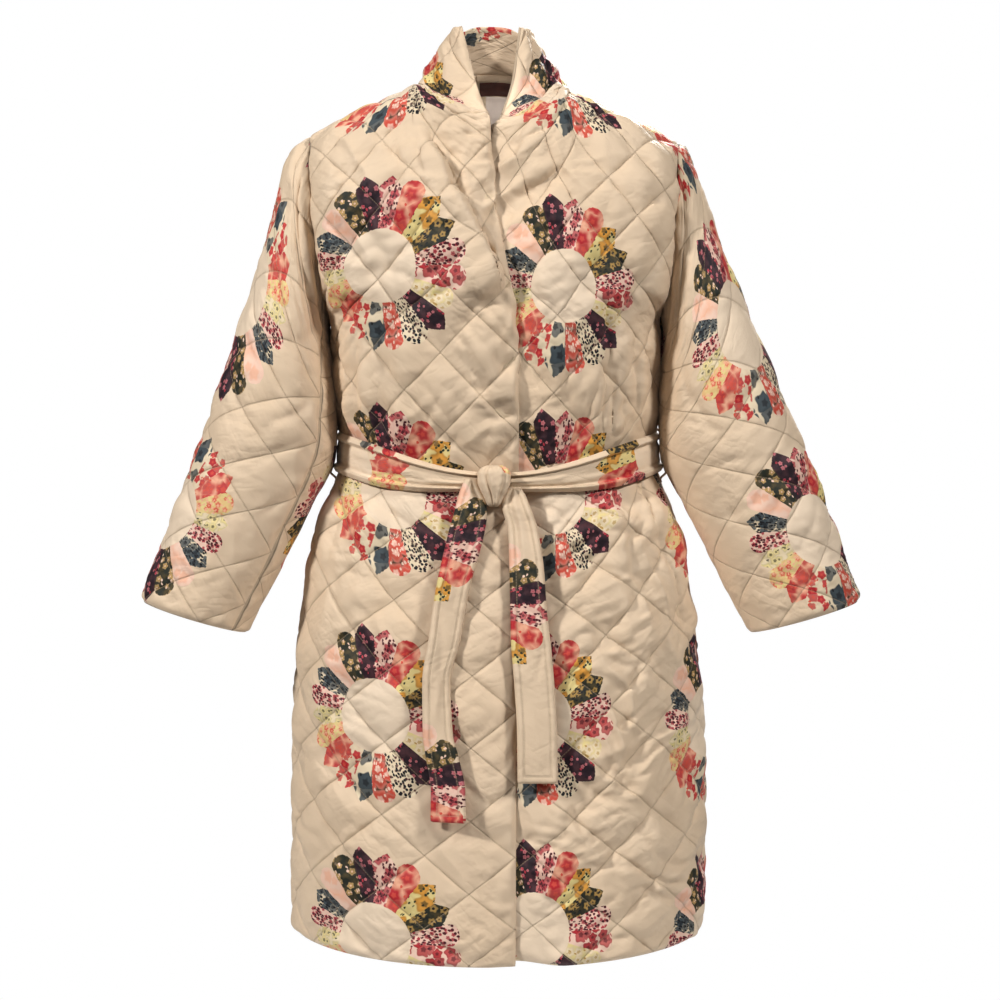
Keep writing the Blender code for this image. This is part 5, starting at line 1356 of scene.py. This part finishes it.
def cloth_piece(node, cloth, thickness, materials, step=INSIDE_STEP):
    """Makes a piece of cloth for a node: the risen outside, a plain inside and a rounded rim."""
    rows, columns = cloth.points.shape[:2]
    normals = cloth.normals()
    outside = cloth.points + normals * cloth.rise[..., None]
    inside = cloth.points - normals * thickness
    edges = rim_edges(cloth)
    out = np.zeros_like(outside)
    start, end = (cloth.points[tuple(edges[:, k].T)] for k in (0, 1))
    for k in (0, 1):
        np.add.at(out, tuple(edges[:, k].T), np.cross(end - start, normals[tuple(edges[:, k].T)]))
    bulge = np.where(cloth.sewn, 0.0, thickness / 2)[..., None]
    layers = np.stack([outside, inside, (outside + inside) / 2 + cloth.unit(out) * bulge])

    triangles = outside_corners(cloth)
    polygons = inside_polygons(cloth, step)
    inner = np.array([at for ring in polygons for at in ring])
    a, b = edges[:, 0], edges[:, 1]
    rims = np.stack([b, a, a, b], axis=1).reshape(-1, 2)
    r, c = np.concatenate([triangles.reshape(-1, 2), inner, rims, rims]).T
    upper = np.tile([0, 0, 2, 2], len(edges))
    lower = np.tile([2, 2, 1, 1], len(edges))
    layer = np.concatenate([np.zeros(3 * len(triangles), int), np.ones(len(inner), int), upper, lower])
    sizes = np.concatenate(
        [np.full(len(triangles), 3), [len(ring) for ring in polygons], np.full(2 * len(edges), 4)]
    )
    slots = np.zeros(len(sizes), int)
    slots[len(triangles) : len(triangles) + len(polygons)] = 1

    joined = np.where(cloth.closed & (c == columns - 1), 0, c)
    used, corners = np.unique((layer * rows + r) * columns + joined, return_inverse=True)
    flat = np.stack([cloth.across[r, c], cloth.up[r, c]], 1)
    sewing = np.stack([cloth.columns[r, c], cloth.rows[r, c]], 1)
    points = layers.reshape(-1, 3)[used]
    return add_piece(node, points, corners, sizes, slots, flat, sewing, materials)


def rounded(wave):
    """A sine or cosine, for a ring between an ellipse and a box."""
    return np.sign(wave) * np.abs(wave) ** (2 / KNOT_POWER)


def knot_piece(material):
    """The belt's knot: a rounded wrap with its creases, resting on the cloth behind it."""
    heights = [row.height for row in KNOT]
    at = np.linspace(heights[0], heights[-1], KNOT_RINGS + 1)
    columns = table_columns(KNOT, heights, at)
    turns = 2 * math.pi * np.arange(KNOT_SIDES + 1) / KNOT_SIDES
    across, ahead = rounded(np.cos(turns)), rounded(np.sin(turns))
    belt_height = TORSO[WAIST].height - TORSO[WAIST].front_drop
    points = np.empty((KNOT_RINGS + 1, KNOT_SIDES + 1, 3))
    for ring, z in enumerate(at):
        middle, half_width, half_depth = (columns[key][ring] for key in Wrap._fields[1:])
        puff = LOFT * belt_press(z - belt_height)
        y = front_depth(middle, z) - KNOT_CLEARANCE - puff - half_depth
        points[ring, :, 0] = middle + half_width * across
        points[ring, :, 1] = y + half_depth * ahead
        points[ring, :, 2] = z
    drop = (at[-1] - at)[:, None] / (at[-1] - at[0])
    rise = np.zeros((KNOT_RINGS + 1, KNOT_SIDES + 1))
    facing = smooth(-np.sin(turns) * KNOT_FRONT)
    for crease in KNOT_CREASES:
        middle = crease.top + (crease.bottom - crease.top) * drop
        rise -= crease.depth * facing * bell(across - middle, crease.width)
    inside = np.clip(drop, KNOT_CREASE_ENDS, 1 - KNOT_CREASE_ENDS)
    rise *= np.sin(math.pi * inside) ** KNOT_CREASE_TAPER
    up, beside = grid(at, across * KNOT_FLAT)
    cloth = Cloth(points, up, beside, beside, up, rise, closed=True)
    cloth.lift(rise)
    faces = []
    for ring in range(KNOT_RINGS):
        for side in range(KNOT_SIDES):
            a, b = ring * KNOT_SIDES + side, ring * KNOT_SIDES + (side + 1) % KNOT_SIDES
            faces.append([a, b, b + KNOT_SIDES, a + KNOT_SIDES])
    faces.append(list(range(KNOT_SIDES))[::-1])
    faces.append([KNOT_RINGS * KNOT_SIDES + side for side in range(KNOT_SIDES)])
    corners = np.array([v for face in faces for v in face])
    sizes = np.array([len(face) for face in faces])
    flat = np.stack([beside[:, :-1].ravel()[corners], up[:, :-1].ravel()[corners]], 1)
    sewing = np.stack([flat[:, 1], np.ones(len(flat))], 1)
    points = cloth.points[:, :-1].reshape(-1, 3)
    slots = np.zeros(len(sizes), int)
    return add_piece("belt_knot", points, corners, sizes, slots, flat, sewing, (material,))


def arithmetic(operation, swapped=False):
    """A method of Value that adds one Math node for two values."""

    def method(self, other):
        return self.maths(operation, other, swapped=swapped)

    return method


class Value:
    """A socket among a material's nodes. Arithmetic on it adds the Math nodes that it needs."""

    def __init__(self, socket):
        self.socket = socket

    def node(self, kind, settings, sockets, output=0):
        """A new node: its settings are set first, then its sockets' values or links."""
        tree = self.socket.id_data
        made = tree.nodes.new(kind)
        for key, setting in settings.items():
            if key == "stops":
                set_stops(made.color_ramp, setting)
            else:
                setattr(made, key, setting)
        for key, given in sockets.items():
            if isinstance(given, Value):
                tree.links.new(given.socket, made.inputs[key])
            else:
                made.inputs[key].default_value = given
        return Value(made.outputs[output])

    def output(self, name):
        """Another output of the node that this value comes from."""
        return Value(self.socket.node.outputs[name])

    def maths(self, operation, *others, swapped=False):
        """A Math node on this value and others, which come first if swapped."""
        given = (self, *others)
        sockets = dict(enumerate(given[::-1] if swapped else given))
        return self.node("ShaderNodeMath", {"operation": operation}, sockets)

    __add__ = __radd__ = arithmetic("ADD")
    __sub__ = arithmetic("SUBTRACT")
    __rsub__ = arithmetic("SUBTRACT", swapped=True)
    __mul__ = __rmul__ = arithmetic("MULTIPLY")
    __truediv__ = arithmetic("DIVIDE")
    __rtruediv__ = arithmetic("DIVIDE", swapped=True)
    __pow__ = arithmetic("POWER")

    def __abs__(self):
        return self.maths("ABSOLUTE")

    def step(self, low, high):
        """0 where this is at low, 1 at high, and an S-curve between."""
        settings = {"interpolation_type": "SMOOTHSTEP"}
        return self.node("ShaderNodeMapRange", settings, {"Value": self, "From Min": low, "From Max": high})

    def above(self, soft):
        """0 where this is under 0 and 1 where it is over it, with a soft edge."""
        return self.step(-soft, soft)

    def mix(self, first, second):
        """first where this is 0 and second where it is 1, as colours."""
        colours = [(*c, 1.0) if isinstance(c, tuple) else c for c in (first, second)]
        sockets = {0: self, 6: colours[0], 7: colours[1]}
        return self.node("ShaderNodeMix", {"data_type": "RGBA"}, sockets, 2)

    def parts(self):
        """The three numbers of a vector or colour."""
        split = self.node("ShaderNodeSeparateXYZ", {}, {0: self})
        return split, split.output("Y"), split.output("Z")

    def scaled(self, by):
        """This place, larger by a number."""
        return self.node("ShaderNodeVectorMath", {"operation": "SCALE"}, {0: self, "Scale": by})

    def ramp(self, stops):
        """The colour of the band that this lies in."""
        return self.node("ShaderNodeValToRGB", {"stops": stops}, {0: self})

    def clouds(self, scale, detail=2.0):
        """Soft noise from 0 to 1 over this place."""
        settings = {"noise_dimensions": "2D"}
        return self.node("ShaderNodeTexNoise", settings, {"Vector": self, "Scale": scale, "Detail": detail})

    def nearest(self, scatter):
        """Distance from the nearest of many points, one in each cell of this place."""
        settings = {"voronoi_dimensions": "2D", "feature": "F1"}
        sockets = {"Vector": self, "Scale": 1.0, "Randomness": scatter}
        return self.node("ShaderNodeTexVoronoi", settings, sockets)


def set_stops(ramp, colours):
    """Even bands of plain colour along a ramp."""
    ramp.interpolation = "CONSTANT"
    while len(ramp.elements) < len(colours):
        ramp.elements.new(1.0)
    for k, colour in enumerate(colours):
        ramp.elements[k].position = k / len(colours)
        ramp.elements[k].color = (*colour, 1.0)


def new_material(name, roughness, sheen=0.0, sheen_roughness=0.5, shine=0.3):
    """A material, with its shader and a value to start its nodes from."""
    material = bpy.data.materials.new(name)
    material.use_nodes = True
    shader = material.node_tree.nodes["Principled BSDF"]
    shader.inputs["Roughness"].default_value = roughness
    shader.inputs["Specular IOR Level"].default_value = shine
    shader.inputs["Sheen Weight"].default_value = sheen
    shader.inputs["Sheen Roughness"].default_value = sheen_roughness
    return material, shader, Value(shader.outputs[0])


def place_on(start, name):
    """A place on one of the piece's flat maps."""
    return start.node("ShaderNodeUVMap", {"uv_map": name}, {})


def connect(shader, name, value):
    """Feeds a value into one of a shader's sockets."""
    shader.id_data.links.new(value.socket, shader.inputs[name])


def relief(shader, start, height):
    """Lets heights in metres shade a surface."""
    sockets = {"Strength": 1.0, "Distance": 1.0, "Height": height}
    connect(shader, "Normal", start.node("ShaderNodeBump", {}, sockets))


def ribs(along, pitch):
    """Waves from -1 to 1, this far apart."""
    return (along * (2 * math.pi / pitch)).maths("SINE")


def ring_print(start, ground, place):
    """The cloth's colour: a ring of patches with flowers and specks, on its plain ground."""
    wobble = (place.clouds(WOBBLE_SCALE) - 0.5) * (2 * PRINT_WOBBLE)
    x, y, _ = place.parts()
    x, y = x + wobble, y - wobble
    radius = (x * x + y * y) ** 0.5
    turn = (x.maths("ARCTAN2", y) / (2 * math.pi)).maths("FRACT")
    within = abs((turn * len(PATCHES)).maths("FRACT") - 0.5) * 2

    ends = turn.ramp([(patch.point, 0.5 + REACH_SCALE * patch.reach, patch.specks) for patch in PATCHES])
    point, reach, cover = ends.parts()
    flowers = turn.ramp([(APART_SCALE * patch.apart, patch.size, patch.soft) for patch in PATCHES])
    apart, size, soft = flowers.parts()

    pointed = 1 - within
    round_end = (1 - within * within) ** 0.5
    tip = round_end + (pointed - round_end) * point
    outer = RING_OUTSIDE + (reach - 0.5) / REACH_SCALE + tip * TIP_HEIGHT - TIP_HEIGHT / 2
    on_ring = (radius - RING_INSIDE).above(PRINT_EDGE) * (outer - radius).above(PRINT_EDGE)
    in_middle = (RING_INSIDE - radius).above(PRINT_EDGE)

    spread = place.scaled(APART_SCALE / apart)
    flower = spread.nearest(FLOWER_SCATTER)
    ends_of = {0: spread, 1: flower.output("Position")}
    dx, dy, _ = start.node("ShaderNodeVectorMath", {"operation": "SUBTRACT"}, ends_of).parts()
    chance, shade, _ = flower.output("Color").parts()
    petals = (dx.maths("ARCTAN2", dy) * PETALS + chance * FLOWER_TURN).maths("COSINE")
    size = size * (FLOWER_LEAST + chance * FLOWER_MORE)
    away = flower * (1 - petals * PETAL_DEPTH) / size
    blur = BLUR_LEAST + soft * BLUR_MORE
    bloom = (1 - away).step(blur * -0.5, blur * 0.5)
    eye = (EYE_SIZE - away).above(EYE_SOFT)
    long_specks = {0: turn * SPECKS_ROUND, 1: radius * SPECKS_OUT}
    specks = start.node("ShaderNodeCombineXYZ", {}, long_specks).nearest(1.0)
    speck_chance, _, _ = specks.output("Color").parts()
    speckled = (SPECK_SIZE - specks).above(SPECK_SOFT) * (cover - speck_chance).above(COVER_SOFT)

    wash = place.clouds(WASH_SCALE, WASH_DETAIL).step(WASH_FROM, WASH_TO)
    ground_of, flower_of, speck_of = (
        turn.ramp([getattr(patch, key) for patch in PATCHES]) for key in ("ground", "flower", "speck")
    )
    patch_ground = (wash * soft * WASH_SHOWS).mix(ground_of, flower_of)
    petal = (shade * SHADE_SHOWS).mix(flower_of, ground_of)
    petal = (away.step(PETAL_RIM, 1.0) * RIM_SHOWS).mix(petal, speck_of)
    colour = bloom.mix(patch_ground, petal)
    colour = (eye * EYE_SHOWS).mix(colour, speck_of)
    colour = speckled.mix(colour, speck_of)
    plain = (in_middle * MIDDLE_SHOWS).mix(ground, RING_MIDDLE)
    return on_ring.mix(plain, colour)


def long_wrinkles(flat, wrinkle):
    """Soft bumps with narrow creases between them, 0 to 1, drawn out in one direction."""
    u, v, _ = flat.parts()
    c, s = math.cos(wrinkle.turn), math.sin(wrinkle.turn)
    along, beside = (u * c + v * s) / wrinkle.stretch, v * c - u * s
    slanted = flat.node("ShaderNodeCombineXYZ", {}, {0: along, 1: beside})
    return abs(slanted.clouds(wrinkle.scale) - 0.5) * 2


def stitches(away, along):
    """Where thread shows, this far from its line and along it, counted in stitches."""
    dash = abs(along.maths("FRACT") - 0.5)
    on_line = (STITCH_WIDTH / 2 - away).step(STITCH_SOFT_OUT, STITCH_SOFT_IN)
    return on_line * (STITCH_SHARE - dash).above(STITCH_SHARE_SOFT)


def quilting_lines(sewing):
    """Where the thread of the quilting shows, 0 to 1, and how deep it pulls, 0 to 1, which also darkens the
    colour there with painted shade.
    """
    c, r, _ = sewing.parts()
    cell = LINE_RUN / DIAMOND_CELLS
    thread, groove = 0.0, 0.0
    for line, along in ((c - r, c + r), (c + r, c - r)):
        away = abs((line / DIAMOND_CELLS + 0.5).maths("FRACT") - 0.5) * LINE_SPACING
        thread = thread + stitches(away, along * (cell / STITCH_LENGTH))
        groove = groove + (QUILT_GROOVE - away).above(QUILT_GROOVE)
    seam = (SEAM_SHADE - c * cell).step(SEAM_SOFT_OUT, SEAM_SOFT_IN)
    return thread, groove + seam * SEAM_PULL


def topstitching(sewing):
    """The same for a line of stitches inside an edge: its thread, and its groove, which the relief presses
    in and painted shade darkens.
    """
    along, edge, _ = sewing.parts()
    away = abs(edge - TOPSTITCH_IN)
    groove = (TOPSTITCH_GROOVE - away).above(TOPSTITCH_GROOVE)
    return stitches(away, along / STITCH_LENGTH), groove * TOPSTITCH_PULL


def cotton(name, sewn, printed=True, colour=GROUND, warm=GROUND_WARM):
    """Cotton sateen with its sewing, and with the print if it has one."""
    material, shader, start = new_material(name, 0.62, sheen=0.12, sheen_roughness=0.4, shine=0.35)
    flat = place_on(start, "Flat")
    thread, groove = sewn(place_on(start, "Sewing"))
    mottle = flat.clouds(MOTTLE_SCALE, MOTTLE_DETAIL)
    ground = (mottle * MOTTLE_SHOWS).mix(colour, warm)
    if printed:
        ground = ring_print(start, ground, place_on(start, "Ring"))
    # Painted shade: the colour is darkened along the grooves of the quilting, the seams and the topstitching
    painted_groove_shade = (groove * PAINTED_SHADE_SHOWS).mix(ground, tuple(PAINTED_GROOVE_SHADE * part for part in warm))
    connect(shader, "Base Color", (thread * THREAD_SHOWS).mix(painted_groove_shade, THREAD))
    connect(shader, "Roughness", COTTON_ROUGH + mottle * COTTON_ROUGHER)
    u, v, _ = flat.parts()
    height = ribs(u, THREAD_PITCH) * ribs(v, THREAD_PITCH) * WEAVE_HEIGHT
    height = height + thread * THREAD_HEIGHT - groove * GROOVE_DEPTH
    for wrinkle in WRINKLES:
        patch = flat.clouds(wrinkle.patch).step(wrinkle.patch_from, wrinkle.patch_to)
        height = height + long_wrinkles(flat, wrinkle) * (wrinkle.height + patch * wrinkle.more)
    relief(shader, start, height)
    return material


def tape_satin():
    """Glossy brown ribbon with fine ribs along it."""
    material, shader, start = new_material("neck_tape_ribbon", 0.3, sheen=0.2, shine=0.5)
    flat = place_on(start, "Flat")
    u, _, _ = flat.parts()
    connect(shader, "Base Color", flat.clouds(TAPE_SHADE_SCALE).mix(TAPE_BROWN, TAPE_DARK))
    connect(shader, "Roughness", TAPE_ROUGH + flat.clouds(TAPE_ROUGH_SCALE) * TAPE_ROUGHER)
    wave = flat.clouds(TAPE_WAVE_SCALE) * TAPE_WAVE_HEIGHT
    relief(shader, start, ribs(u, TAPE_RIB) * TAPE_RIB_HEIGHT + wave)
    return material


def label_satin():
    """Pale woven label, left bare."""
    material, shader, start = new_material("neck_label_satin", 0.7, sheen=0.1, shine=0.2)
    flat = place_on(start, "Flat")
    thread, _ = topstitching(place_on(start, "Sewing"))
    _, v, _ = flat.parts()
    rib = ribs(v, LABEL_RIB)
    colour = flat.clouds(LABEL_SHADE_SCALE, LABEL_SHADE_DETAIL).mix(LABEL_PALE, LABEL_SHADE)
    ribbed = (rib * 0.5 + 0.5).step(0.0, 1.0) * LABEL_RIB_SHOWS
    connect(shader, "Base Color", ribbed.mix(colour, LABEL_SHADE))
    connect(shader, "Roughness", LABEL_ROUGH + flat.clouds(LABEL_ROUGH_SCALE) * LABEL_ROUGHER)
    relief(shader, start, rib * LABEL_RIB_HEIGHT + thread * LABEL_STITCH_HEIGHT)
    return material


def settle(piece, node):
    """Puts a piece in its node's place."""
    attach(piece, "root")
    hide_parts(node)
    return piece


def coat():
    """All the pieces of the coat."""
    printed = cotton("quilted_print", quilting_lines)
    lining = cotton("quilted_lining", quilting_lines, False, LINING, LINING)
    belt = cotton("belt_print", topstitching)
    panels = {
        "front_right": front_cloth(-1),
        "front_left": front_cloth(1),
        "collar_back": collar_cloth(),
        "sleeve_right": sleeve_cloth(-1),
        "sleeve_left": sleeve_cloth(1),
        "back": back_cloth(),
    }
    strips = {
        "belt_front_right": (belt_cloth("front", -1, BELT_RIGHT_END), BELT_WALL, belt),
        "belt_front_left": (belt_cloth("front", BELT_LEFT_END, 1), BELT_WALL, belt),
        "belt_back": (belt_cloth("back", 1, -1), BELT_WALL, belt),
        "belt_tail_right": (tail_cloth(TAIL_RIGHT, "right"), TAIL_WALL, belt),
        "belt_tail_left": (tail_cloth(TAIL_LEFT, "left"), TAIL_WALL, belt),
        "belt_loop_right": (loop_cloth(-1), LOOP_WALL, belt),
        "belt_loop_left": (loop_cloth(1), LOOP_WALL, belt),
        "hanger_loop": (trim_cloth(HANGER), TRIM_WALL, belt),
        "neck_tape": (trim_cloth(TAPE), TRIM_WALL, tape_satin()),
        "neck_label": (trim_cloth(LABEL), TRIM_WALL, label_satin()),
    }
    narrow = []
    for node, (cloth, wall, material) in strips.items():
        piece = cloth_piece(node, cloth, wall, (material, material), 1)
        settle(piece, node)
        if node in SEWN_ON:
            narrow.append(piece)
        else:
            "stretched" if node in ROUND_WAIST else "hung"
    for number, (node, (cloth, press)) in enumerate(panels.items()):
        inside = printed if node == "collar_back" else lining
        calm = CALM.get(node, CALM_PLAIN)
        cloth.rise = padded_rise(cloth, press, *calm, PANEL_SEED_STEP * number)
        piece = cloth_piece(node, cloth, WALL, (printed, inside))
        settle(piece, node)
        narrow if node == "back" else ()
    settle(knot_piece(belt), "belt_knot")


def floor():
    """A plain pale round floor, well below the hem."""
    rim = [
        (FLOOR_RADIUS * math.cos(a), FLOOR_RADIUS * math.sin(a), FLOOR_HEIGHT)
        for a in np.linspace(0, 2 * math.pi, FLOOR_SIDES, endpoint=False)
    ]
    mesh = bpy.data.meshes.new("floor")
    mesh.from_pydata(rim, [], [list(range(len(rim)))])
    material, shader, _ = new_material("floor_white", FLOOR_ROUGH)
    shader.inputs["Base Color"].default_value = FLOOR_PALE
    mesh.materials.append(material)
    put("floor", mesh)


def white_room():
    """White surroundings, which the camera sees brighter than they light the coat."""
    world = bpy.data.worlds.new("white_room")
    bpy.context.scene.world = world
    world.use_nodes = True
    background = world.node_tree.nodes["Background"]
    background.inputs["Color"].default_value = (1.0, 1.0, 1.0, 1.0)
    seen = Value(background.outputs[0]).node("ShaderNodeLightPath", {}, {}, "Is Camera Ray")
    connect(background, "Strength", ROOM_LIGHT + seen * (1 - ROOM_LIGHT))


def light(lamp):
    """A round soft box or a narrow spot that faces its aim."""
    made = bpy.data.lights.new(lamp.name, lamp.kind)
    made.energy = lamp.power
    if lamp.kind == "SPOT":
        made.shadow_soft_size, made.spot_size, made.spot_blend = lamp.size, SPOT_ANGLE, SPOT_BLEND
    else:
        made.shape, made.size = "DISK", lamp.size
    stand = put(lamp.name, made)
    stand.location = lamp.at
    aim = [b - a for a, b in zip(lamp.at, lamp.aim)]
    stand.rotation_euler = Vector(aim).to_track_quat("-Z", "Y").to_euler()


def studio():
    """A white room with soft boxes in front and behind, a spot for the label, and the camera."""
    scene = bpy.context.scene
    scene.view_settings.view_transform = "Standard"
    scene.view_settings.gamma = PICTURE_GAMMA
    white_room()
    for lamp in LAMPS:
        light(lamp)
    camera = bpy.data.cameras.new("camera")
    camera.lens, camera.sensor_width = CAMERA_LENS, CAMERA_SENSOR
    scene.camera = put("camera", camera)
    scene.camera.location = CAMERA_AT
    scene.camera.rotation_euler = (math.pi / 2, 0.0, 0.0)


studio()
floor()
coat()
